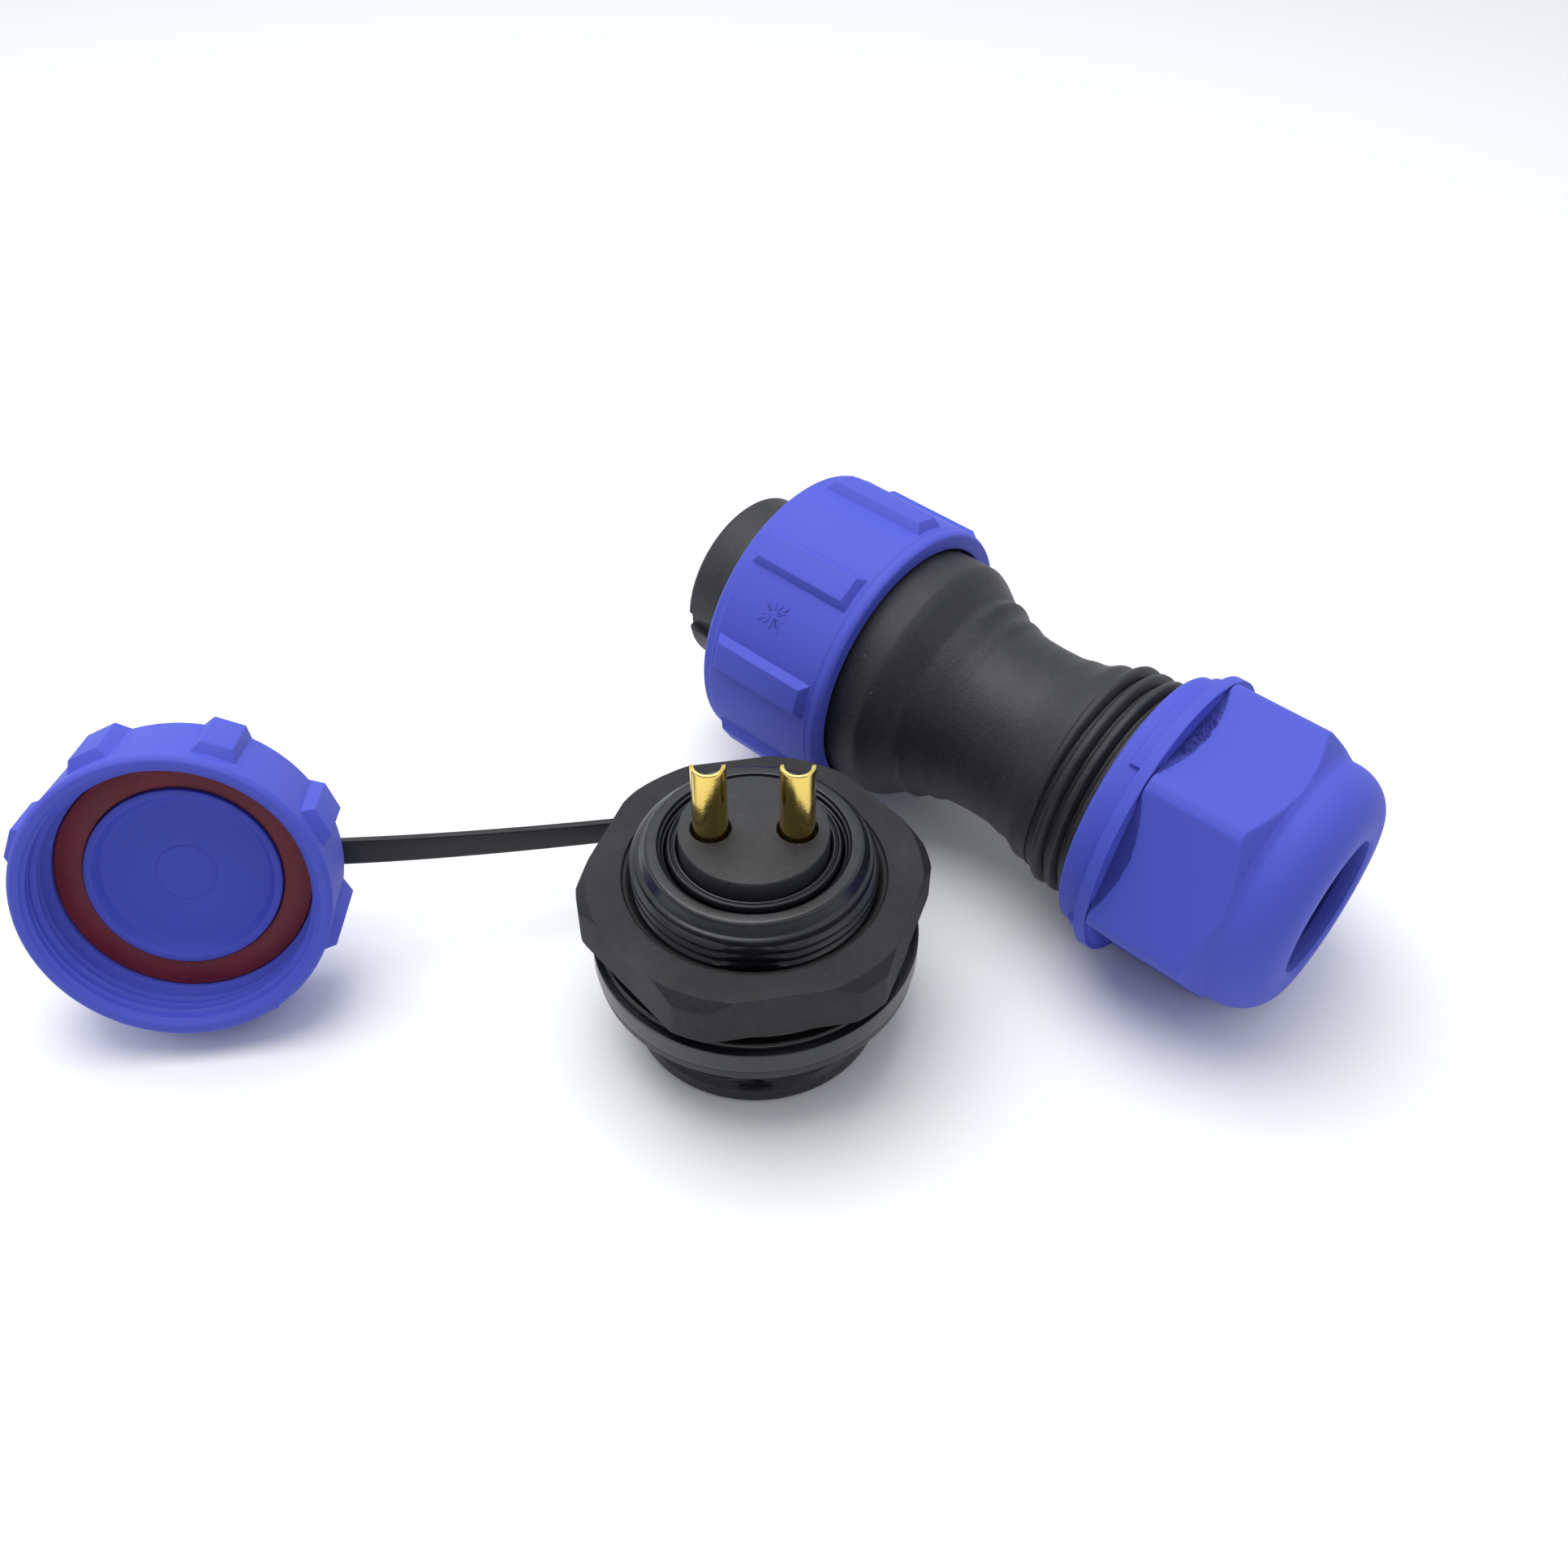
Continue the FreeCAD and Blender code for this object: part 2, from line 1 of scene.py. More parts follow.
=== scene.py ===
"""Waterproof two-pole solar cable connector, dressed on its CAD frame.

A panel receptacle stands on its mating end, its ribbed dust cap rests beside
it on a moulded tether, and a cable plug lies behind. Sizes of each
sub-assembly are in millimetres in that sub-assembly's own axes; the frame's
joints say where those axes are.
"""
import json
import logging
import math
from dataclasses import dataclass, field
from enum import Enum
from typing import Callable, Optional, Sequence

import bmesh
import bpy
from mathutils import Matrix, Vector


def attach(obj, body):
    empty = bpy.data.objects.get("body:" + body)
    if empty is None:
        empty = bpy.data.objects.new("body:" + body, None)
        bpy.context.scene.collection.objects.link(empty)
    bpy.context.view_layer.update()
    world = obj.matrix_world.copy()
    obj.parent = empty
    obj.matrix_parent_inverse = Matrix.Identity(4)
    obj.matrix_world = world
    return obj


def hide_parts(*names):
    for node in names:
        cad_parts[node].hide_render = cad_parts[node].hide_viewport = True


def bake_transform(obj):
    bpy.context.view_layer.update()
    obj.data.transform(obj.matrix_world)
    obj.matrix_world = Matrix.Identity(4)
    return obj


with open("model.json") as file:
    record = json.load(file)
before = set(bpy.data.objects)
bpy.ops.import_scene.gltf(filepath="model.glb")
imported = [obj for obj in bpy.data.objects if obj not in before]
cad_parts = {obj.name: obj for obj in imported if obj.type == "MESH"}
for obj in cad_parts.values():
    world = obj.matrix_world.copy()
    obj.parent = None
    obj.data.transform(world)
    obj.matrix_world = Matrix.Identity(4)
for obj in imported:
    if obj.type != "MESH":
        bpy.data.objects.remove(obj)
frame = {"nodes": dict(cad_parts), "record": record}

LOG = logging.getLogger("connector")
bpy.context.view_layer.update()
MM = 0.001
TAU = 2 * math.pi
NUT_JOINT_HEIGHT = 15.0    # of the nut's joint above the receptacle's foot
COUPLER_JOINT_BACK = -8.0  # of the coupling ring's joint from the plug's shoulder
CAP_ROLL = 21.5            # degrees from upright to the cap's first rib

Point = tuple[float, float]
Shaper = Callable[[float, float, float], float]


# ---------------------------------------------------------------- places
@dataclass(frozen=True)
class Place:
    """Where a sub-assembly's own axes stand in the row frame.

    Args:
        origin: The origin of the local axes, in metres.
        axis: The local Z axis.
        toward: A direction that the local X axis leans towards.
        roll: Extra turn about the local Z axis, in degrees.
    """
    origin: Vector
    axis: Vector
    toward: Vector
    roll: float = 0.0

    def matrix(self) -> Matrix:
        """Local millimetres to row-frame metres."""
        z = self.axis.normalized()
        x = (self.toward - z * self.toward.dot(z)).normalized()
        y = z.cross(x)
        turn = Matrix((x, y, z)).transposed().to_4x4()
        return Matrix.Translation(self.origin) @ turn @ about_z(self.roll) @ Matrix.Scale(MM, 4)

    def point(self, x: float, y: float, z: float) -> Vector:
        """A local point, in millimetres, as a row-frame point."""
        return self.matrix() @ Vector((x, y, z))


def joint(name: str) -> dict:
    """The record's joint of that name."""
    return next(j for j in frame["record"]["behaviour"]["joints"] if j["name"] == name)


def joint_place(name: str, back: float, toward: Vector, roll: float = 0.0) -> Place:
    """Local axes on a joint's axis.

    Args:
        name: The hinge to read.
        back: Distance from the local origin to the joint's point, in millimetres along the axis.
        toward: Direction of the local X axis.
        roll: Extra turn about the axis, in degrees.

    Returns:
        The place, with its local Z along the joint's axis.
    """
    found = joint(name)
    axis = Vector(found["axis"])
    return Place(Vector(found["pos_m"]) - axis * back * MM, axis, toward, roll)


# ---------------------------------------------------------------- meshes
def rounded(points: Sequence[Point], radius: float, closed: bool, steps: int = 4) -> list[Point]:
    """Round every corner of an outline with an arc-like curve.

    Args:
        points: Corners as (radius, height).
        radius: Largest distance along an edge that a corner takes.
        closed: Whether the last point joins the first.
        steps: Segments in each rounded corner.

    Returns:
        The rounded outline.
    """
    out: list[Point] = []
    count = len(points)
    for i, (x, y) in enumerate(points):
        if not closed and i in (0, count - 1):
            out.append((x, y))
            continue
        ends = []
        for other in (points[i - 1], points[(i + 1) % count]):
            dx, dy = other[0] - x, other[1] - y
            length = math.hypot(dx, dy)
            reach = min(radius, 0.45 * length) / length
            ends.append((x + dx * reach, y + dy * reach))
        (ax, ay), (bx, by) = ends
        for k in range(steps + 1):
            t = k / steps
            out.append(((1 - t) ** 2 * ax + 2 * t * (1 - t) * x + t * t * bx,
                        (1 - t) ** 2 * ay + 2 * t * (1 - t) * y + t * t * by))
    return out


def densified(points: Sequence[Point], step: float, closed: bool) -> list[Point]:
    """Split the long runs of an outline.

    Args:
        points: The outline.
        step: Longest run to leave.
        closed: Whether the last point joins the first.

    Returns:
        The outline with added points.
    """
    out: list[Point] = []
    count = len(points)
    for i in range(count if closed else count - 1):
        (ax, ay), (bx, by) = points[i], points[(i + 1) % count]
        parts = max(1, math.ceil(math.hypot(bx - ax, by - ay) / step))
        out += [(ax + (bx - ax) * k / parts, ay + (by - ay) * k / parts) for k in range(parts)]
    if not closed:
        out.append(points[-1])
    return out


def soft_min(a: float, b: float, blend: float) -> float:
    """Smaller of two values with a rounded changeover."""
    h = max(blend - abs(a - b), 0.0) / blend
    return min(a, b) - h * h * blend / 4


def turned_mesh(name: str, outline: Sequence[Point], segments: int = 160,
                shaper: Optional[Shaper] = None) -> bpy.types.Mesh:
    """Closed mesh turned about local Z.

    Args:
        name: The mesh's name.
        outline: (radius, height) points; it closes on itself unless both ends lie on the axis.
        segments: Steps round the axis.
        shaper: Gives the real radius for a radius, height and angle.

    Returns:
        The mesh, in local millimetres.
    """
    poles = outline[0][0] < 1e-6 and outline[-1][0] < 1e-6
    bm = bmesh.new()
    rings = []
    for r, z in outline:
        if r < 1e-6:
            rings.append([bm.verts.new((0, 0, z))])
            continue
        ring = []
        for k in range(segments):
            a = TAU * k / segments
            true_r = shaper(r, z, a) if shaper else r
            ring.append(bm.verts.new((true_r * math.cos(a), true_r * math.sin(a), z)))
        rings.append(ring)
    pairs = list(zip(rings, rings[1:])) + ([] if poles else [(rings[-1], rings[0])])
    for low, high in pairs:
        for k in range(segments):
            n = (k + 1) % segments
            loop = [low[k % len(low)], low[n % len(low)], high[n % len(high)], high[k % len(high)]]
            loop = list(dict.fromkeys(loop))
            if len(loop) > 2:
                bm.faces.new(loop)
    bmesh.ops.remove_doubles(bm, verts=bm.verts, dist=1e-5)
    bmesh.ops.recalc_face_normals(bm, faces=bm.faces)
    return mesh_from(bm, name)


def mesh_from(bm: bmesh.types.BMesh, name: str) -> bpy.types.Mesh:
    """A mesh with a bmesh's geometry, which is freed."""
    mesh = bpy.data.meshes.new(name)
    bm.to_mesh(mesh)
    bm.free()
    return mesh


def box_mesh(low: Sequence[float], high: Sequence[float], bevel: float = 0.0) -> bpy.types.Mesh:
    """Box between two corners, its edges rounded if a bevel is given."""
    bm = bmesh.new()
    bmesh.ops.create_cube(bm, size=1)
    for v in bm.verts:
        v.co = Vector([low[i] + (high[i] - low[i]) * (v.co[i] + 0.5) for i in range(3)])
    if bevel:
        bmesh.ops.bevel(bm, geom=bm.edges[:], offset=bevel, segments=3, profile=0.6, affect="EDGES")
    return mesh_from(bm, "box")


def frustum_mesh(base: Sequence[float], top: Sequence[float], bevel: float) -> bpy.types.Mesh:
    """Block that narrows outwards along local X, as a moulded rib does.

    Args:
        base: (x, half width, low z, high z) of the buried face.
        top: The same of the outer face.
        bevel: Edge rounding.

    Returns:
        The mesh, in local millimetres.
    """
    bm = bmesh.new()
    rings = []
    for x, half, z0, z1 in (base, top):
        rings.append([bm.verts.new((x, y, z)) for y, z in ((-half, z0), (half, z0), (half, z1), (-half, z1))])
    bm.faces.new(rings[0][::-1])
    bm.faces.new(rings[1])
    for k in range(4):
        n = (k + 1) % 4
        bm.faces.new((rings[0][k], rings[0][n], rings[1][n], rings[1][k]))
    bmesh.ops.bevel(bm, geom=bm.edges[:], offset=bevel, segments=4, profile=0.5, affect="EDGES")
    bmesh.ops.recalc_face_normals(bm, faces=bm.faces)
    return mesh_from(bm, "rib")


def about_z(degrees: float) -> Matrix:
    """A turn about local Z."""
    return Matrix.Rotation(math.radians(degrees), 4, "Z")


def moved(mesh: bpy.types.Mesh, matrix: Matrix) -> bpy.types.Mesh:
    """The same mesh after a transform."""
    mesh.transform(matrix)
    return mesh


def joined(meshes: Sequence[bpy.types.Mesh], name: str) -> bpy.types.Mesh:
    """One mesh made of several."""
    bm = bmesh.new()
    for mesh in meshes:
        bm.from_mesh(mesh)
    return mesh_from(bm, name)


def scratch(mesh: bpy.types.Mesh) -> bpy.types.Object:
    """A temporary object in the scene."""
    obj = bpy.data.objects.new("scratch", mesh)
    bpy.context.scene.collection.objects.link(obj)
    return obj


def baked(obj: bpy.types.Object) -> bpy.types.Mesh:
    """The object's mesh with its modifiers applied; the object is removed."""
    bpy.context.view_layer.update()
    graph = bpy.context.evaluated_depsgraph_get()
    mesh = bpy.data.meshes.new_from_object(obj.evaluated_get(graph))
    bpy.data.objects.remove(obj)
    return mesh


def carved(mesh: bpy.types.Mesh, cutters: Sequence[bpy.types.Mesh], bevel: float = 0.0) -> bpy.types.Mesh:
    """Cut shapes out of a mesh.

    Args:
        mesh: The body.
        cutters: Closed meshes to take away.
        bevel: Rounding of the sharp edges that are left.

    Returns:
        The cut mesh.
    """
    body = scratch(mesh)
    tools = [scratch(cutter) for cutter in cutters]
    for tool in tools:
        cut = body.modifiers.new("cut", "BOOLEAN")
        cut.operation, cut.solver, cut.object = "DIFFERENCE", "EXACT", tool
    if bevel:
        edge = body.modifiers.new("edge", "BEVEL")
        edge.width, edge.segments, edge.limit_method, edge.angle_limit = bevel, 2, "ANGLE", math.radians(40)
    result = baked(body)
    for tool in tools:
        bpy.data.objects.remove(tool)
    return result


# -------------------------------------------------------- geometry nodes
class Graph:
    """A node tree with a short call to add and join its nodes."""

    def __init__(self, tree: bpy.types.NodeTree) -> None:
        """Work in that tree."""
        self.tree = tree

    def add(self, kind: str, inputs: Optional[dict] = None, **props: object) -> bpy.types.Node:
        """Add a node.

        Args:
            kind: The node's type name.
            inputs: Socket name or index to a value or to a socket to link from.
            props: Properties of the node itself.

        Returns:
            The new node.
        """
        node = self.tree.nodes.new(kind)
        for key, prop in props.items():
            setattr(node, key, prop)
        for key, item in (inputs or {}).items():
            if isinstance(item, bpy.types.NodeSocket):
                self.tree.links.new(item, node.inputs[key])
            else:
                node.inputs[key].default_value = item
        return node


class Tree(Graph):
    """A geometry node tree that grows one object's mesh."""

    def __init__(self, name: str) -> None:
        """Start an empty tree of that name."""
        super().__init__(bpy.data.node_groups.new(name, "GeometryNodeTree"))
        self.tree.interface.new_socket("Geometry", in_out="INPUT", socket_type="NodeSocketGeometry")
        self.tree.interface.new_socket("Geometry", in_out="OUTPUT", socket_type="NodeSocketGeometry")
        self.source = self.tree.nodes.new("NodeGroupInput")
        self.sink = self.tree.nodes.new("NodeGroupOutput")

    def named(self, kind: str, **values: float) -> None:
        """Add input sockets with their default values."""
        for name, value in values.items():
            socket = self.tree.interface.new_socket(name.replace("_", " "), in_out="INPUT", socket_type=kind)
            if value is not None:
                socket.default_value = value

    def value(self, name: str) -> bpy.types.NodeSocket:
        """The group input of that name."""
        return self.source.outputs[name]

    def math(self, operation: str, a: object, b: object = 0.0) -> bpy.types.NodeSocket:
        """The result of a maths node on two numbers or sockets."""
        return self.add("ShaderNodeMath", {0: a, 1: b}, operation=operation).outputs[0]

    def finish(self, geometry: bpy.types.NodeSocket) -> bpy.types.NodeTree:
        """Realize, set the material and end the tree."""
        real = self.add("GeometryNodeRealizeInstances", {"Geometry": geometry})
        done = self.add("GeometryNodeSetMaterial", {"Geometry": real.outputs[0], "Material": self.value("Material")})
        self.tree.links.new(done.outputs[0], self.sink.inputs[0])
        return self.tree


def repeat_tree() -> bpy.types.NodeTree:
    """Copies of the object's own mesh at equal steps round local Z."""
    tree = Tree("repeat_round_axis")
    tree.named("NodeSocketInt", Count=8)
    tree.named("NodeSocketFloat", Start=0.0, Step=0.7854)
    tree.named("NodeSocketMaterial", Material=None)
    points = tree.add("GeometryNodePoints", {"Count": tree.value("Count")})
    index = tree.add("GeometryNodeInputIndex").outputs[0]
    angle = tree.math("ADD", tree.math("MULTIPLY", index, tree.value("Step")), tree.value("Start"))
    turn = tree.add("ShaderNodeCombineXYZ", {"Z": angle})
    copies = tree.add("GeometryNodeInstanceOnPoints", {
        "Points": points.outputs[0], "Instance": tree.value("Geometry"), "Rotation": turn.outputs[0]})
    return tree.finish(copies.outputs[0])


def thread_tree() -> bpy.types.NodeTree:
    """A screw thread's ridge swept along a helix, run out at both ends and pressed flat at two flats."""
    tree = Tree("thread_ridge")
    tree.named("NodeSocketFloat", Radius=10.0, Height=0.5, Base=0.8, Crest=0.3, Pitch=1.0, Turns=5.0, Start=0.0,
               Flat=100.0, Flat_Angle=0.0, Phase=0.0, Side=1.0)
    tree.named("NodeSocketMaterial", Material=None)
    v = tree.value
    rise = tree.math("MULTIPLY", v("Pitch"), v("Turns"))
    helix = tree.add("GeometryNodeCurveSpiral", {
        "Resolution": 96, "Rotations": v("Turns"), "Start Radius": v("Radius"), "End Radius": v("Radius"),
        "Height": rise, "Reverse": False})
    level = tree.add("GeometryNodeSetCurveNormal", {"Curve": helix.outputs[0]}, mode="Z_UP")
    along = tree.add("GeometryNodeSplineParameter").outputs["Factor"]
    inward = tree.math("SUBTRACT", 1.0, along)
    near_end = tree.math("MULTIPLY", tree.math("MINIMUM", along, inward), tree.math("MULTIPLY", v("Turns"), 3.0))
    fade = tree.math("ADD", tree.math("MINIMUM", near_end, 1.0), 0.02)
    section = tree.add("GeometryNodeCurvePrimitiveQuadrilateral", {
        "Height": v("Height"), "Bottom Width": v("Base"), "Top Width": v("Crest"), "Offset": 0.0}, mode="TRAPEZOID")
    lift = tree.add("ShaderNodeCombineXYZ", {"Y": tree.math("MULTIPLY", v("Height"), 0.42)})
    placed = tree.add("GeometryNodeTransform", {"Geometry": section.outputs[0], "Translation": lift.outputs[0]})
    facing_axis = tree.add("ShaderNodeCombineXYZ", {"Z": tree.math("MULTIPLY", v("Side"), math.pi / 2)})
    quarter = tree.add("GeometryNodeTransform", {"Geometry": placed.outputs[0], "Rotation": facing_axis.outputs[0]})
    corner = tree.add("GeometryNodeFilletCurve", {
        "Curve": quarter.outputs[0], "Radius": tree.math("MULTIPLY", v("Crest"), 0.3)})
    ridge = tree.add("GeometryNodeCurveToMesh", {
        "Curve": level.outputs[0], "Profile Curve": corner.outputs[0], "Scale": fade, "Fill Caps": True})
    up = tree.add("ShaderNodeCombineXYZ", {"Z": v("Start")})
    spin = tree.add("ShaderNodeCombineXYZ", {"Z": v("Phase")})
    stood = tree.add("GeometryNodeTransform", {
        "Geometry": ridge.outputs[0], "Translation": up.outputs[0], "Rotation": spin.outputs[0]})
    spot = tree.add("GeometryNodeInputPosition").outputs[0]
    facing = tree.add("ShaderNodeCombineXYZ", {
        "X": tree.math("COSINE", v("Flat Angle")), "Y": tree.math("SINE", v("Flat Angle"))}).outputs[0]
    reach = tree.add("ShaderNodeVectorMath", {0: spot, 1: facing}, operation="DOT_PRODUCT").outputs["Value"]
    over = tree.math("MAXIMUM", tree.math("SUBTRACT", tree.math("ABSOLUTE", reach), v("Flat")), 0.0)
    push = tree.math("MULTIPLY", over, tree.math("MULTIPLY", tree.math("SIGN", reach), -1.0))
    press = tree.add("ShaderNodeVectorMath", {0: facing, "Scale": push}, operation="SCALE")
    flat = tree.add("GeometryNodeSetPosition", {"Geometry": stood.outputs[0], "Offset": press.outputs[0]})
    return tree.finish(flat.outputs[0])


class NodesKit:
    """The geometry node trees, each built once."""
    repeat: bpy.types.NodeTree = repeat_tree()
    thread: bpy.types.NodeTree = thread_tree()


def grown(mesh: bpy.types.Mesh, tree: bpy.types.NodeTree, **values: object) -> bpy.types.Mesh:
    """Run a geometry node tree on a mesh.

    Args:
        mesh: What the tree starts from.
        values: The tree's named inputs, with underscores for spaces.

    Returns:
        The plain mesh that results.
    """
    obj = scratch(mesh)
    modifier = obj.modifiers.new("grow", "NODES")
    modifier.node_group = tree
    sockets = {s.name: s.identifier for s in tree.interface.items_tree if s.in_out == "INPUT"}
    for name, value in values.items():
        modifier[sockets[name.replace("_", " ")]] = value
    return baked(obj)


def thread_mesh(**values: object) -> bpy.types.Mesh:
    """A thread ridge from named sizes; side -1 faces it inwards."""
    mesh = grown(bpy.data.meshes.new("seed"), NodesKit.thread, **values)
    bm = bmesh.new()
    bm.from_mesh(mesh)
    bmesh.ops.recalc_face_normals(bm, faces=bm.faces)
    return mesh_from(bm, "thread")


# ---------------------------------------------------------------- finishes
class Shade(Graph):
    """A material or shader group with short calls for its usual nodes."""

    def ranged(self, value: bpy.types.NodeSocket, low: float, high: float, to_low: float,
               to_high: float) -> bpy.types.NodeSocket:
        """The value mapped from one range to another, clamped."""
        node = self.add("ShaderNodeMapRange", {
            "Value": value, "From Min": low, "From Max": high, "To Min": to_low, "To Max": to_high})
        return node.outputs[0]

    def noise(self, vector: bpy.types.NodeSocket, scale: object, detail: float = 3.0,
              rough: float = 0.5) -> bpy.types.NodeSocket:
        """The value of a noise texture."""
        return self.add("ShaderNodeTexNoise", {
            "Vector": vector, "Scale": scale, "Detail": detail, "Roughness": rough}).outputs[0]

    def mixed(self, mask: object, a: object, b: object) -> bpy.types.NodeSocket:
        """Two colours mixed by a mask."""
        node = self.add("ShaderNodeMix", data_type="RGBA")
        for socket, item in ((node.inputs[0], mask), (node.inputs[6], a), (node.inputs[7], b)):
            if isinstance(item, bpy.types.NodeSocket):
                self.tree.links.new(item, socket)
            else:
                socket.default_value = item
        return node.outputs[2]


def shader_group(name: str, inputs: dict[str, float], outputs: Sequence[str]) -> tuple[Shade, dict, dict]:
    """Start a shader node group.

    Args:
        name: The group's name.
        inputs: Names and defaults of its number inputs; a Vector input comes first.
        outputs: Names of its value outputs.

    Returns:
        The tree helper, the group's input sockets and its output sockets.
    """
    group = bpy.data.node_groups.new(name, "ShaderNodeTree")
    group.interface.new_socket("Vector", in_out="INPUT", socket_type="NodeSocketVector")
    for key, value in inputs.items():
        socket = group.interface.new_socket(key, in_out="INPUT", socket_type="NodeSocketFloat")
        socket.default_value = value
    for key in outputs:
        group.interface.new_socket(key, in_out="OUTPUT", socket_type="NodeSocketFloat")
    source = group.nodes.new("NodeGroupInput")
    sink = group.nodes.new("NodeGroupOutput")
    return Shade(group), {s.name: s for s in source.outputs}, {s.name: s for s in sink.inputs}


def grain_group() -> bpy.types.NodeTree:
    """Fine sparked-mould grain with a slow tone drift over it."""
    shade, given, wanted = shader_group("moulded_grain", {"Grain Scale": 6000.0, "Drift Scale": 180.0},
                                        ["Height", "Drift", "Bloom"])
    fine = shade.noise(given["Vector"], given["Grain Scale"], 4.0, 0.62)
    slow = shade.noise(given["Vector"], given["Drift Scale"], 2.0, 0.45)
    shade.tree.links.new(fine, wanted["Height"])
    shade.tree.links.new(slow, wanted["Drift"])
    cloud = shade.noise(given["Vector"], 150.0, 6.0, 0.68)
    shade.tree.links.new(shade.ranged(cloud, 0.47, 0.68, 0.0, 1.0), wanted["Bloom"])
    return shade.tree


def speck_group() -> bpy.types.NodeTree:
    """Sparse pale lint and dust specks."""
    shade, given, wanted = shader_group("lint_specks", {"Scale": 900.0, "Size": 0.07, "Amount": 0.62}, ["Mask"])
    cell = shade.add("ShaderNodeTexVoronoi", {"Vector": given["Vector"], "Scale": given["Scale"]})
    dot = shade.add("ShaderNodeMath", {0: cell.outputs["Distance"], 1: given["Size"]}, operation="LESS_THAN")
    lottery = shade.noise(given["Vector"], 330.0, 1.0)
    drawn = shade.add("ShaderNodeMath", {0: lottery, 1: given["Amount"]}, operation="GREATER_THAN")
    both = shade.add("ShaderNodeMath", {0: dot.outputs[0], 1: drawn.outputs[0]}, operation="MULTIPLY")
    shade.tree.links.new(both.outputs[0], wanted["Mask"])
    return shade.tree


def scuff_group() -> bpy.types.NodeTree:
    """Thin rub marks that cross each other."""
    shade, given, wanted = shader_group("rub_marks", {"Scale": 260.0}, ["Mask"])
    masks = []
    for turn, squeeze in ((0.4, 14.0), (1.9, 11.0)):
        bend = shade.add("ShaderNodeMapping", {
            "Vector": given["Vector"], "Rotation": (0.3, turn, turn), "Scale": (2.2, squeeze, 2.2)})
        lines = shade.noise(bend.outputs[0], given["Scale"], 2.0, 0.4)
        masks.append(shade.ranged(lines, 0.66, 0.74, 0.0, 1.0))
    both = shade.add("ShaderNodeMath", {0: masks[0], 1: masks[1]}, operation="MAXIMUM")
    shade.tree.links.new(both.outputs[0], wanted["Mask"])
    return shade.tree


class ShaderKit:
    """The shared shader groups, each built once."""
    grain: bpy.types.NodeTree = grain_group()
    specks: bpy.types.NodeTree = speck_group()
    scuffs: bpy.types.NodeTree = scuff_group()


class Grade(Enum):
    """How a surface is finished."""
    SATIN = "satin"
    GLOSS = "gloss"
    SOFT = "soft"
    METAL = "metal"


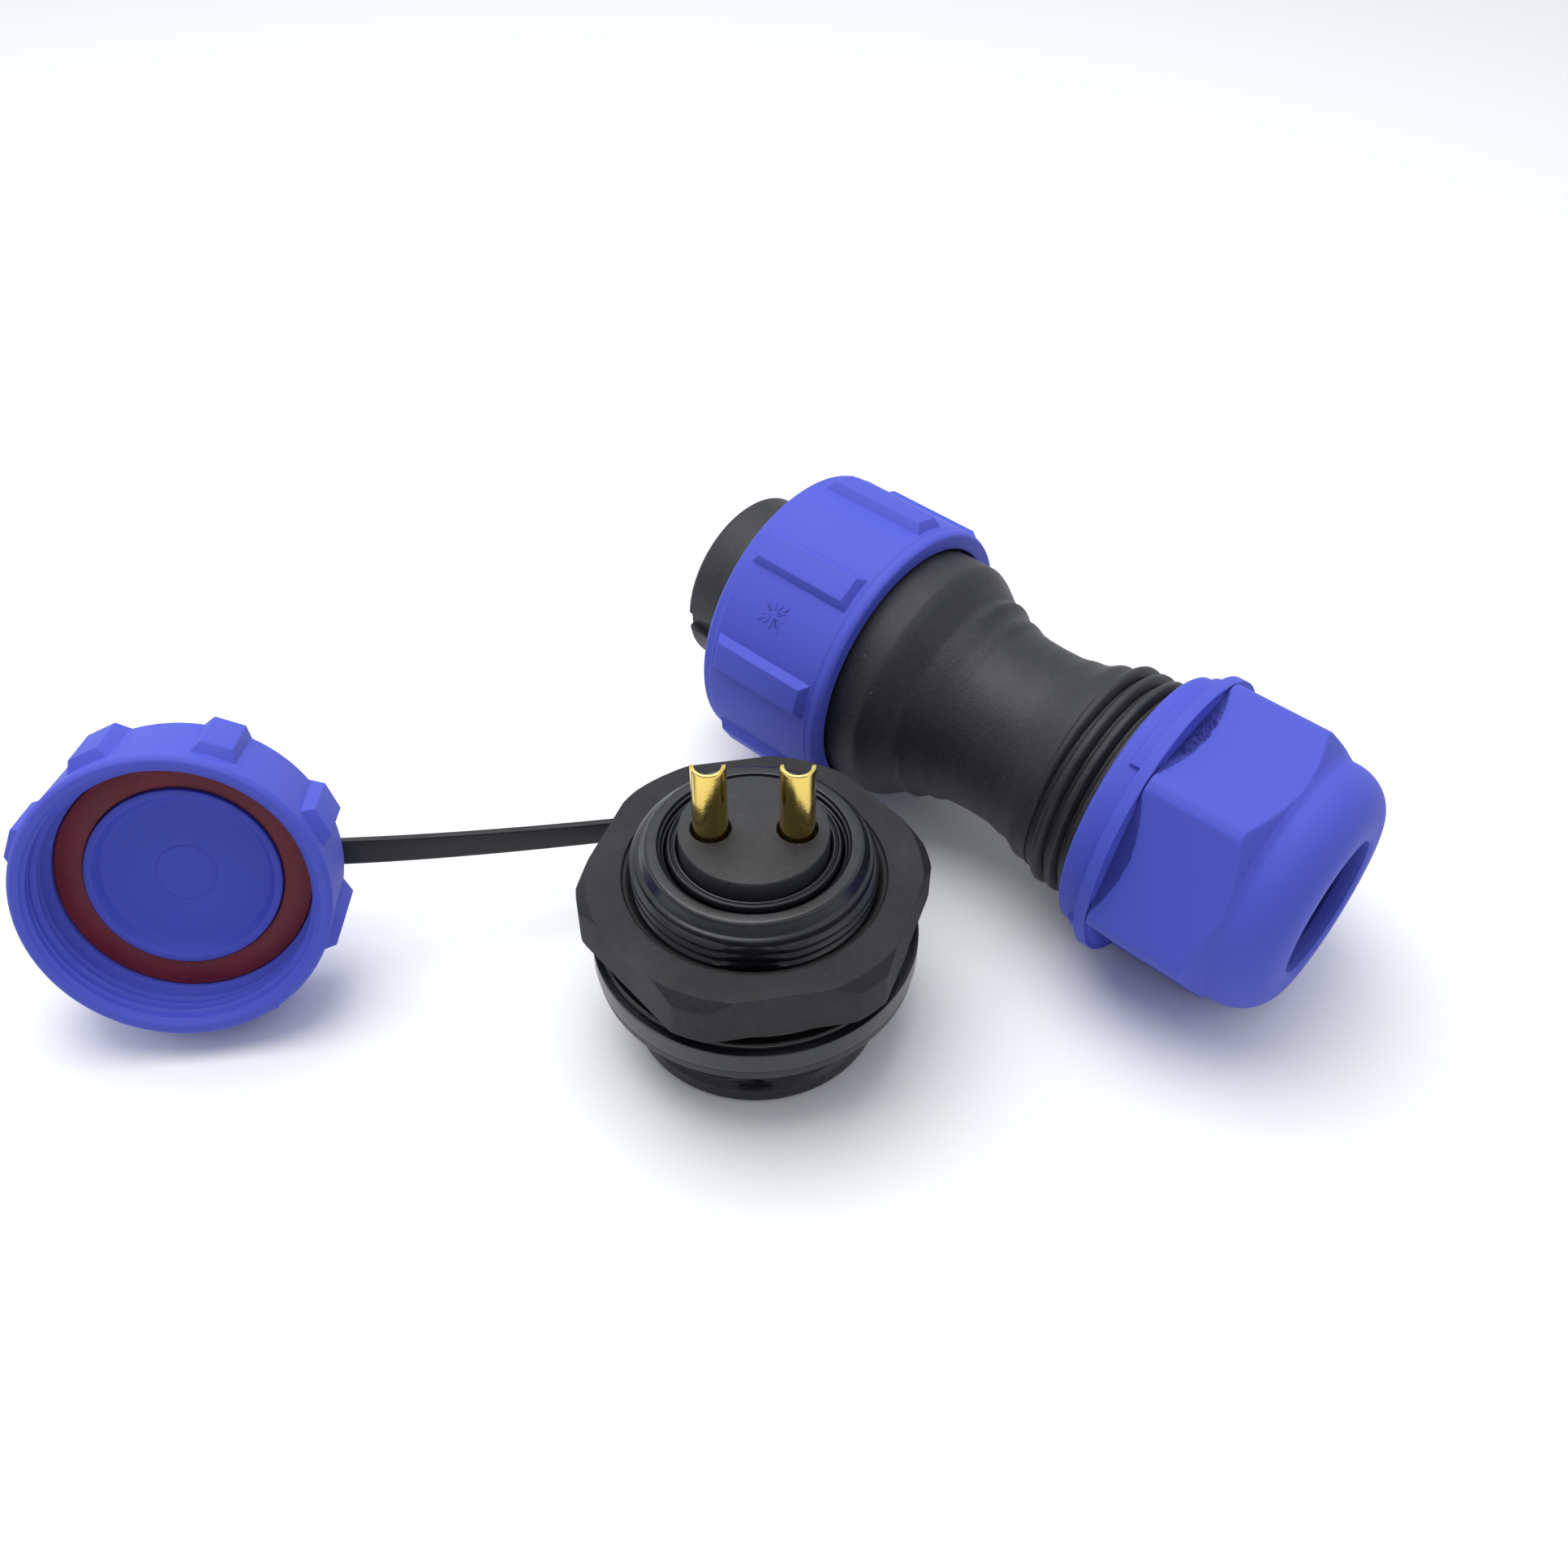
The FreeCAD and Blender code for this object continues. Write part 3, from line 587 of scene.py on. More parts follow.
@dataclass(frozen=True)
class Finish:
    """One finish of the connector.

    Args:
        name: Name of the material.
        slot: The record's material slot it belongs to; not used.
        grade: How the surface is finished.
        colour: Linear base colour.
        rough: Mean roughness.
        grain_depth: Depth of the mould grain, in millimetres.
        grain_scale: Fineness of the grain.
        drift: How much the tone varies.
        specks: Threshold of the dust lottery; higher is cleaner.
        dust: Colour of dust and rub marks.
        rub: Strength of the rub marks.
        bloom: Strength of the pale flow clouds in the moulding.
        fleck: How much the grain lightens the tone.
    """
    name: str
    slot: str
    grade: Grade
    colour: tuple[float, float, float]
    rough: float
    grain_depth: float = 0.012
    grain_scale: float = 5200.0
    drift: float = 0.16
    specks: float = 0.66
    dust: tuple[float, float, float] = (0.20, 0.20, 0.21)
    rub: float = 0.022
    bloom: float = 0.03
    fleck: float = 0.42

    def build(self) -> bpy.types.Material:
        """The node material for this finish."""
        made = bpy.data.materials.get(self.name)
        if made:
            return made
        material = bpy.data.materials.new(self.name)
        material.use_nodes = True
        material.node_tree.nodes.clear()
        shade = Shade(material.node_tree)
        spot = shade.add("ShaderNodeTexCoord").outputs["Object"]
        grain = shade.add("ShaderNodeGroup", node_tree=ShaderKit.grain)
        specks = shade.add("ShaderNodeGroup", node_tree=ShaderKit.specks)
        scuffs = shade.add("ShaderNodeGroup", node_tree=ShaderKit.scuffs)
        for node in (grain, specks, scuffs):
            shade.tree.links.new(spot, node.inputs["Vector"])
        grain.inputs["Grain Scale"].default_value = self.grain_scale
        specks.inputs["Amount"].default_value = self.specks
        tint = shade.ranged(grain.outputs["Drift"], 0.3, 0.7, 0.0, 1.0)
        bloom = shade.add("ShaderNodeMath", {0: grain.outputs["Bloom"], 1: self.bloom}, operation="MULTIPLY").outputs[0]
        dark = tuple(c * (1 - self.drift) for c in self.colour) + (1.0,)
        light = tuple(min(1.0, c * (1 + self.drift)) for c in self.colour) + (1.0,)
        fleck = shade.ranged(grain.outputs["Height"], 0.44, 0.66, 0.0, self.fleck)
        pale = tuple(min(1.0, c * 1.8 + 0.004) for c in self.colour) + (1.0,)
        flecked = shade.mixed(fleck, shade.mixed(tint, dark, light), pale)
        base = shade.mixed(bloom, flecked, self.dust + (1.0,))
        rubbed = shade.add("ShaderNodeMath", {0: scuffs.outputs["Mask"], 1: self.rub}, operation="MULTIPLY").outputs[0]
        worn = shade.mixed(rubbed, base, self.dust + (1.0,))
        dusty = shade.add("ShaderNodeMath", {0: specks.outputs["Mask"], 1: 0.55}, operation="MULTIPLY").outputs[0]
        colour = shade.mixed(dusty, worn, self.dust + (1.0,))
        rough = shade.ranged(grain.outputs["Drift"], 0.25, 0.75, self.rough - 0.05, self.rough + 0.07)
        rough = shade.add("ShaderNodeMath", {0: rough, 1: dusty}, operation="ADD").outputs[0]
        bump = shade.add("ShaderNodeBump", {
            "Height": grain.outputs["Height"], "Strength": 0.8, "Distance": self.grain_depth * MM})
        surface = shade.add("ShaderNodeBsdfPrincipled", {
            "Base Color": colour, "Roughness": rough, "Normal": bump.outputs[0]})
        self.set_grade(surface)
        out = shade.add("ShaderNodeOutputMaterial")
        shade.tree.links.new(surface.outputs[0], out.inputs["Surface"])
        return material

    def set_grade(self, surface: bpy.types.Node) -> None:
        """Set the uniform sockets that the grade asks for."""
        if self.grade is Grade.METAL:
            surface.inputs["Metallic"].default_value = 1.0
        if self.grade is Grade.GLOSS:
            surface.inputs["Specular IOR Level"].default_value = 0.46
            surface.inputs["Coat Weight"].default_value = 0.10
            surface.inputs["Coat Roughness"].default_value = 0.12
        if self.grade is Grade.SOFT:
            surface.inputs["Sheen Weight"].default_value = 0.08
            surface.inputs["Specular IOR Level"].default_value = 0.4


# "blue_nylon" and "spring_steel" are also names of plain materials that the frame brings in. build() finds and
# returns those, so the values of BLUE_NYLON and STEEL don't show.
BLUE_NYLON = Finish("blue_nylon", "blue_nylon", Grade.SATIN, (0.008, 0.050, 0.43), 0.46, 0.045, 3000.0, 0.16, 0.70,
                    (0.06, 0.20, 0.74), 0.02, 0.40)
SATIN_BLACK = Finish("satin_black", "black_satin", Grade.SATIN, (0.0098, 0.0102, 0.0140), 0.54, 0.050, 2800.0)
NUT_BLACK = Finish("nut_black", "black_satin", Grade.SATIN, (0.0050, 0.0052, 0.0068), 0.68, 0.060, 2400.0)
GLOSS_BLACK = Finish("gloss_black", "black_nylon", Grade.GLOSS, (0.0050, 0.0058, 0.0085), 0.30, 0.020, 2600.0)
FACE_BLACK = Finish("face_black", "black_satin", Grade.SATIN, (0.0125, 0.0135, 0.0155), 0.58, 0.045, 2600.0)
SEAL_BLACK = Finish("seal_black", "black_rubber", Grade.GLOSS, (0.005, 0.005, 0.006), 0.22, 0.006, 2500.0)
SEAL_RED = Finish("seal_red", "red_rubber", Grade.SOFT, (0.165, 0.011, 0.022), 0.45, 0.020, 2600.0, 0.14, 0.56,
                  (0.35, 0.20, 0.22), fleck=0.12)
STRAP_BLACK = Finish("strap_black", "strap_polymer", Grade.SOFT, (0.0040, 0.0046, 0.0072), 0.46, 0.012, 2600.0)
CABLE_SEAL = Finish("cable_seal_grey", "seal_rubber", Grade.SOFT, (0.012, 0.012, 0.014), 0.55, 0.010)
GOLD = Finish("gold_plate", "gold_brass", Grade.METAL, (0.82, 0.61, 0.16), 0.13, 0.010, 1900.0, 0.10, 0.80,
              (0.55, 0.45, 0.25), fleck=0.0)
STEEL = Finish("spring_steel", "spring_steel", Grade.METAL, (0.55, 0.55, 0.57), 0.32, 0.006)


# ---------------------------------------------------------------- pieces
def stand(name: str, parts: Sequence[bpy.types.Mesh], place: Place, finish: Finish, nodes: Sequence[str],
          body: Optional[str], smooth: float = 38.0) -> bpy.types.Object:
    """Put a finished piece in the scene for its CAD nodes.

    Args:
        name: The piece's name.
        parts: Its meshes, in local millimetres.
        place: Its local axes.
        finish: Its finish.
        nodes: CAD nodes that it stands for.
        body: The CAD body it rides on, or None when it spans two and is left unparented.
        smooth: Edges sharper than this many degrees stay crisp.

    Returns:
        The new object, at the origin.
    """
    mesh = joined(parts, name)
    mesh.transform(place.matrix())
    mesh.materials.clear()
    mesh.materials.append(finish.build())
    mesh.polygons.foreach_set("use_smooth", [True] * len(mesh.polygons))
    mesh.polygons.foreach_set("material_index", [0] * len(mesh.polygons))
    mesh.set_sharp_from_angle(angle=math.radians(smooth))
    obj = bpy.data.objects.new(name, mesh)
    bpy.context.scene.collection.objects.link(obj)
    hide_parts(*nodes)
    if body:
        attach(obj, body)
    LOG.info("%-24s %6d faces for %s", name, len(mesh.polygons), ", ".join(nodes))
    return obj


def dress(node: str, finish: Finish) -> None:
    """Give a CAD node that stays its finish."""
    obj = frame["nodes"][node]
    obj.data.materials.clear()
    obj.data.materials.append(finish.build())
    LOG.info("%-24s kept with %s", node, finish.name)


def flats(distance: float, azimuth: float, low: float, high: float) -> Shaper:
    """Two opposite flats over a stretch of a turned piece.

    Args:
        distance: From the axis to each flat.
        azimuth: Direction of the first flat, in degrees.
        low: Start of the stretch.
        high: End of the stretch.

    Returns:
        A shaper that limits the radius there.
    """
    def shape(r: float, z: float, a: float) -> float:
        """Radius after the flats are cut."""
        if not low < z < high:
            return r
        face = abs(math.cos(a - math.radians(azimuth)))
        return soft_min(r, distance / max(face, 1e-3), 0.06)
    return shape


def hexagonal(across: float, azimuth: float, low: float, high: float, bore: float) -> Shaper:
    """Six flats over a stretch of a turned piece.

    Args:
        across: Distance across flats.
        azimuth: Direction of one flat, in degrees.
        low: Start of the stretch.
        high: End of the stretch.
        bore: Radii up to this one are left round.

    Returns:
        A shaper that limits the radius there.
    """
    def shape(r: float, z: float, a: float) -> float:
        """Radius after the hexagon is cut."""
        if r < bore or not low <= z <= high:
            return r
        off = (a - math.radians(azimuth) + math.pi / 6) % (math.pi / 3) - math.pi / 6
        return soft_min(r, across / 2 / math.cos(off), 0.05)
    return shape


@dataclass
class Receptacle:
    """Panel receptacle: housing, insulator, contacts, rings and seals."""
    place: Place
    flat_azimuth: float = -49.2
    pin_azimuth: float = 40.8
    pitch: float = 1.0
    collar_crest: float = 11.05
    collar_root: float = 10.55
    rear_root: float = 9.80
    flange_r: float = 14.0
    flange_top: float = 10.55
    neck: Point = (7.20, 8.45)
    top: float = 20.75
    rim_r: float = 9.15
    bore_r: float = 7.30
    insulator_r: float = 6.19
    insulator_top: float = 22.20
    pin_offset: float = 3.51

    def housing(self) -> list[bpy.types.Mesh]:
        """Turned shell with its flats and helical threads."""
        outer = [(9.05, 0), (self.collar_crest - 0.35, 0), (self.collar_crest, 0.35), (self.collar_crest, 1.6),
                 (self.collar_root, 1.9), (self.collar_root, self.neck[0]), (10.5, self.neck[0]), (10.5, self.neck[1]),
                 (self.flange_r, self.neck[1]), (self.flange_r, self.flange_top), (9.7, self.flange_top),
                 (self.rear_root, self.flange_top + 0.7), (self.rear_root, 19.55), (self.rim_r + 0.3, 19.7),
                 (self.rim_r + 0.05, 20.2), (9.02, 20.6), (8.75, self.top), (7.95, self.top), (7.86, 20.5),
                 (7.66, 20.42), (7.6, 20.1), (7.42, 20.05)]
        inner = [(self.bore_r, 19.5), (self.bore_r, 12.0), (6.6, 12.0), (6.6, 9.5), (9.05, 9.5)]
        outline = densified(rounded(outer + inner, 0.09, True), 0.5, True)
        shell = turned_mesh("housing", outline, 192, flats(self.collar_root - 0.1, self.flat_azimuth, 1.7, 7.1))
        angle = math.radians(self.flat_azimuth)
        front = thread_mesh(Radius=self.collar_root - 0.04, Height=0.54, Base=0.86, Crest=0.26, Pitch=self.pitch,
                            Turns=4.6, Start=2.2, Flat=self.collar_root - 0.1, Flat_Angle=angle)
        rear = thread_mesh(Radius=self.rear_root - 0.04, Height=0.54, Base=0.86, Crest=0.26, Pitch=self.pitch,
                           Turns=7.9, Start=11.5, Flat=self.rear_root + 0.06, Flat_Angle=angle)
        key = moved(box_mesh((8.4, -0.8, 1.2), (9.3, 0.8, 9.4), 0.15),
                    about_z(self.pin_azimuth + 90))
        return [shell, front, rear, key]

    def insulator(self) -> bpy.types.Mesh:
        """Contact carrier with its two countersunk holes."""
        outline = rounded([(0, 7.5), (6.55, 7.5), (6.55, 12.0), (7.25, 12.0), (7.25, 17.5), (self.insulator_r, 17.5),
                           (self.insulator_r, self.insulator_top), (0, self.insulator_top)], 0.2, False)
        cutters = []
        for side in (0, 180):
            at = about_z(self.pin_azimuth + side) @ Matrix.Translation((self.pin_offset, 0, 0))
            hole = turned_mesh("hole", [(0, 7), (1.25, 7), (1.25, 9), (1.53, 9), (1.53, 20.9), (1.68, 21.0),
                                        (1.68, 22.1), (1.9, 22.5), (0, 22.5)], 48)
            cutters.append(moved(hole, at))
        return carved(turned_mesh("insulator", outline, 128), cutters)

    def contact(self, side: float) -> bpy.types.Mesh:
        """Turned pin whose solder cup is open at the back.

        Args:
            side: 0 or 180 degrees from the pin line.

        Returns:
            The contact's mesh.
        """
        outline = rounded([(0, 1.8), (0.7, 1.8), (1.2, 2.9), (1.2, 9.05), (1.5, 9.05), (1.5, 20.3), (1.44, 20.6),
                           (1.44, 29.2), (1.06, 29.2), (1.06, 23.2), (0, 22.7)], 0.22, False)
        scoop = bmesh.new()
        side_view = [(0.0, 30.5), (0.0, 25.4), (0.25, 24.6), (0.8, 23.9), (3.0, 23.4), (3.0, 30.5)]
        faces = [[scoop.verts.new((x, y, z)) for y, z in side_view] for x in (-2.0, 2.0)]
        scoop.faces.new(faces[0])
        scoop.faces.new(faces[1][::-1])
        for k in range(6):
            n = (k + 1) % 6
            scoop.faces.new((faces[0][n], faces[0][k], faces[1][k], faces[1][n]))
        bmesh.ops.recalc_face_normals(scoop, faces=scoop.faces)
        pin = carved(turned_mesh("pin", outline, 56), [mesh_from(scoop, "scoop")], 0.13)
        turn = about_z(self.flat_azimuth + 90)
        shift = about_z(self.pin_azimuth + side) @ Vector((self.pin_offset, 0, 0))
        return moved(pin, Matrix.Translation(shift) @ turn)

    def retaining_ring(self) -> bpy.types.Mesh:
        """Ring with fine concentric steps."""
        profile = [(6.27, 18.55), (7.20, 18.55), (7.20, 20.25), (7.12, 20.50), (6.98, 20.60), (6.86, 20.52),
                   (6.80, 20.38), (6.72, 20.38), (6.66, 20.50), (6.52, 20.56), (6.40, 20.48), (6.27, 20.2)]
        return turned_mesh("ring", rounded(profile, 0.06, True, 3), 160)

    def build(self) -> None:
        """Make and place every receptacle piece."""
        p = self.place
        stand("housing_shell", self.housing(), p, GLOSS_BLACK, ["receptacle_housing"], "receptacle")
        stand("insulator_face", [self.insulator()], p, FACE_BLACK, ["receptacle_insulator"], "receptacle")
        for tag, side in (("a", 0.0), ("b", 180.0)):
            stand(f"solder_cup_{tag}", [self.contact(side)], p, GOLD, [f"contact_pin_{tag}"], "receptacle")
        ring = [(6.745 + 0.46 * math.cos(TAU * k / 20), 17.98 + 0.46 * math.sin(TAU * k / 20)) for k in range(20)]
        stand("insulator_seal", [turned_mesh("seal", ring)], p, SEAL_BLACK, ["insulator_o_ring"], "receptacle")
        stand("insulator_collar", [self.retaining_ring()], p, GLOSS_BLACK, ["insulator_retaining_ring"], "receptacle")
        gasket = rounded([(10.42, 10.55), (13.45, 10.55), (13.45, 11.25), (10.42, 11.25)], 0.25, True)
        stand("panel_gasket", [turned_mesh("gasket", gasket)], p, SEAL_BLACK, ["flange_gasket"], "receptacle")


@dataclass
class PanelNut:
    """Hex nut and the slip washer under it."""
    place: Place
    across: float = 27.0
    azimuth: float = 21.2
    low: float = 12.75
    high: float = 17.25
    bore: float = 10.36

    def build(self) -> None:
        """Make and place the nut and its washer."""
        outline = [(self.bore + 0.5, self.low), (14.7, self.low), (14.85, self.low + 0.12), (14.85, self.high - 0.9),
                   (14.0, self.high), (self.bore + 0.72, self.high), (self.bore + 0.6, self.high - 0.25),
                   (self.bore + 0.3, self.high - 0.3), (self.bore, self.high - 0.6), (self.bore, self.low + 0.4)]
        outline = densified(rounded(outline, 0.07, True, 2), 0.16, True)
        nut = turned_mesh("nut", outline, 432, hexagonal(self.across, self.azimuth, self.low - 1, self.high + 1, 11.5))
        ridge = thread_mesh(Radius=self.bore + 0.03, Height=0.06, Side=-1.0, Base=0.5, Crest=0.2, Pitch=1.0, Turns=3.6,
                            Start=self.low + 0.45)
        stand("hex_nut", [nut, ridge], self.place, NUT_BLACK, ["panel_nut"], "nut", 24.0)
        washer = rounded([(10.40, 11.95), (13.20, 11.95), (13.20, 12.70), (10.40, 12.70)], 0.15, True)
        stand("slip_washer", [turned_mesh("washer", washer)], self.place, SATIN_BLACK, ["nut_slip_washer"],
              "slip_washer")


@dataclass
class Tether:
    """Moulded lanyard: a ring under the flange, its lug, the strap and its eyelet."""
    place: Place
    cap: Place
    lug_azimuth: float = 140.6
    lug_r: float = 16.10
    run: float = 4.0
    thick: float = 0.80
    tall: float = 2.50
    level: float = 7.65
    ring: Point = (10.60, 13.85)
    ring_z: Point = (7.30, 8.40)
    tail_drop: float = -8.0

    def route(self, t: float) -> tuple[Vector, Vector]:
        """Point and direction of the strap.

        Args:
            t: 0 at the lug, 1 at the eyelet.

        Returns:
            The point and the unit direction, in metres in the row frame.
        """
        lug = math.radians(self.lug_azimuth)
        run = Vector((math.cos(lug - 1.5 * math.pi), math.sin(lug - 1.5 * math.pi), 0))
        start = self.place.point(self.lug_r * math.cos(lug), self.lug_r * math.sin(lug), self.level)
        start = start + run * (self.run + 0.5) * MM
        normal = self.cap.axis.normalized()
        level = Vector((-normal.y, normal.x, 0)).normalized()
        tail = Matrix.Rotation(math.radians(self.tail_drop), 3, normal) @ level
        end = self.cap.point(0, 0, -0.60) + tail * 3.0 * MM
        p = (start, start + run * 11.0 * MM, end + tail * 11.0 * MM, end)
        s = 1 - t
        at = p[0] * s**3 + p[1] * 3 * s * s * t + p[2] * 3 * s * t * t + p[3] * t**3
        along = (p[1] - p[0]) * s * s + (p[2] - p[1]) * 2 * s * t + (p[3] - p[2]) * t * t
        return at, along.normalized()

    def strap(self) -> bpy.types.Mesh:
        """Rounded band from inside the lug to the eyelet, in metres."""
        steps = 56
        lug = math.radians(self.lug_azimuth + 180)
        first = Vector((math.cos(lug), math.sin(lug), 0))
        bm = bmesh.new()
        rings = []
        for k in range(-6, steps + 1):
            t = max(0, k) / steps
            at, along = self.route(t)
            at = at + along * min(0, k) * 0.35 * MM
            ease = 3 * t * t - 2 * t**3
            flat = first * (1 - ease) + self.cap.axis.normalized() * ease
            flat = (flat - along * flat.dot(along)).normalized()
            wide = along.cross(flat)
            ring = []
            for a, b in self.section():
                ring.append(bm.verts.new(at + flat * a * MM + wide * b * MM))
            rings.append(ring)
        count = len(rings[0])
        for low, high in zip(rings, rings[1:]):
            for k in range(count):
                n = (k + 1) % count
                bm.faces.new((low[k], low[n], high[n], high[k]))
        bm.faces.new(rings[0][::-1])
        bm.faces.new(rings[-1])
        bmesh.ops.recalc_face_normals(bm, faces=bm.faces)
        return mesh_from(bm, "strap")

    def section(self) -> list[Point]:
        """The band's section with round corners."""
        a, b = self.thick / 2, self.tall / 2
        return rounded([(a, b), (-a, b), (-a, -b), (a, -b)], 0.28, True, 3)

    def build(self) -> None:
        """Make the ring on its body and lay the strap, fixed in place, from the lug to the cap's eyelet."""
        (r0, r1), (z0, z1) = self.ring, self.ring_z
        hoop = turned_mesh("hoop", rounded([(r0, z0), (r1, z0), (r1, z1), (r0, z1)], 0.22, True), 160)
        low, high = self.level - self.tall / 2, self.level + self.tall / 2
        web = box_mesh((r1 - 0.8, -1.6, z0 + 0.02), (self.lug_r, 1.6, z1 - 0.02), 0.2)
        half = self.thick / 2
        lug = box_mesh((self.lug_r - half, -2.6, low), (self.lug_r + half, 2.4, high), 0.25)
        turn = about_z(self.lug_azimuth)
        parts = [hoop, moved(web, turn), moved(lug, turn)]
        stand("tether_hoop", parts, self.place, STRAP_BLACK, ["lanyard_ring"], "tether_ring")
        band = self.strap()
        band.transform(self.place.matrix().inverted())
        eyelet = turned_mesh("eyelet", rounded([(1.58, -1.1), (3.4, -1.1), (3.4, -0.1), (1.58, -0.1)], 0.3, True), 72)
        eyelet.transform(self.place.matrix().inverted() @ self.cap.matrix())
        obj = stand("tether_band", [band, eyelet], self.place, STRAP_BLACK, ["lanyard_strap"], None)
        at, along = self.route(0.0)
        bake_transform(obj)


@dataclass
class DustCap:
    """Ribbed cap, its sealing ring and the stud that holds the eyelet."""
    place: Place
    length: float = 9.20
    mouth_r: float = 13.0
    back_r: float = 12.70
    rib_r: float = 13.80
    rib_count: int = 8
    bore_r: float = 11.15
    root_r: float = 11.55
    seat: float = 3.0
    disc: float = 4.80
    disc_r: float = 8.20

    def shell(self) -> list[bpy.types.Mesh]:
        """Turned shell, grip ribs and the internal thread."""
        end = self.length
        outline = [(0, 0), (4.5, 0), (4.7, 0.12), (self.back_r - 0.9, 0.12), (self.back_r, 0.75),
                   (self.back_r + 0.02, 1.1), (self.back_r + 0.16, 1.2), (self.mouth_r - 0.02, end - 1.1),
                   (self.mouth_r, end - 0.35),
                   (self.mouth_r - 0.35, end), (self.root_r + 0.45, end), (self.root_r + 0.30, end - 0.28),
                   (self.root_r, end - 0.5), (self.root_r, self.disc + 0.35), (self.bore_r - 0.4, self.disc),
                   (self.bore_r - 0.4, self.seat), (self.disc_r, self.seat), (self.disc_r, self.disc),
                   (self.disc_r - 0.62, self.disc), (self.disc_r - 1.15, self.disc - 0.95),
                   (self.disc_r - 1.5, self.disc - 1.1), (2.6, self.disc - 1.1), (2.5, self.disc - 1.02),
                   (2.38, self.disc - 1.02), (2.28, self.disc - 1.1), (0, self.disc - 1.1)]
        body = turned_mesh("cap", rounded(outline, 0.11, False, 3), 224)
        rib = frustum_mesh((self.back_r - 0.6, 2.25, 0.45, end - 1.3), (self.rib_r, 1.32, 1.35, end - 2.3), 0.1)
        ribs = grown(rib, NodesKit.repeat, Count=self.rib_count, Start=0.0, Step=TAU / self.rib_count)
        thread = thread_mesh(Radius=self.root_r + 0.04, Height=0.50, Side=-1.0, Base=0.62, Crest=0.12, Pitch=1.0,
                             Turns=2.9, Start=self.disc + 0.55)
        return [body, ribs, thread]

    def build(self) -> None:
        """Make and place the cap's pieces."""
        stand("cap_body", self.shell(), self.place, BLUE_NYLON, ["cap_shell"], "cap")
        seal = [(self.disc_r + 0.05, self.seat), (self.bore_r - 0.45, self.seat),
                (self.bore_r - 0.45, self.seat + 1.42), (self.disc_r + 0.05, self.seat + 1.5)]
        stand("cap_seal", [turned_mesh("seal", rounded(seal, 0.2, True))], self.place, SEAL_RED, ["cap_gasket"], "cap")
        stud = [(0, -2.05), (1.8, -2.05), (2.6, -1.65), (2.6, -1.18), (1.5, -1.18), (1.5, 1.9), (0, 2.2)]
        stud = rounded(stud, 0.3, False)
        stand("cap_rivet", [turned_mesh("stud", stud, 64)], self.place, SATIN_BLACK, ["cap_stud"], "cap")


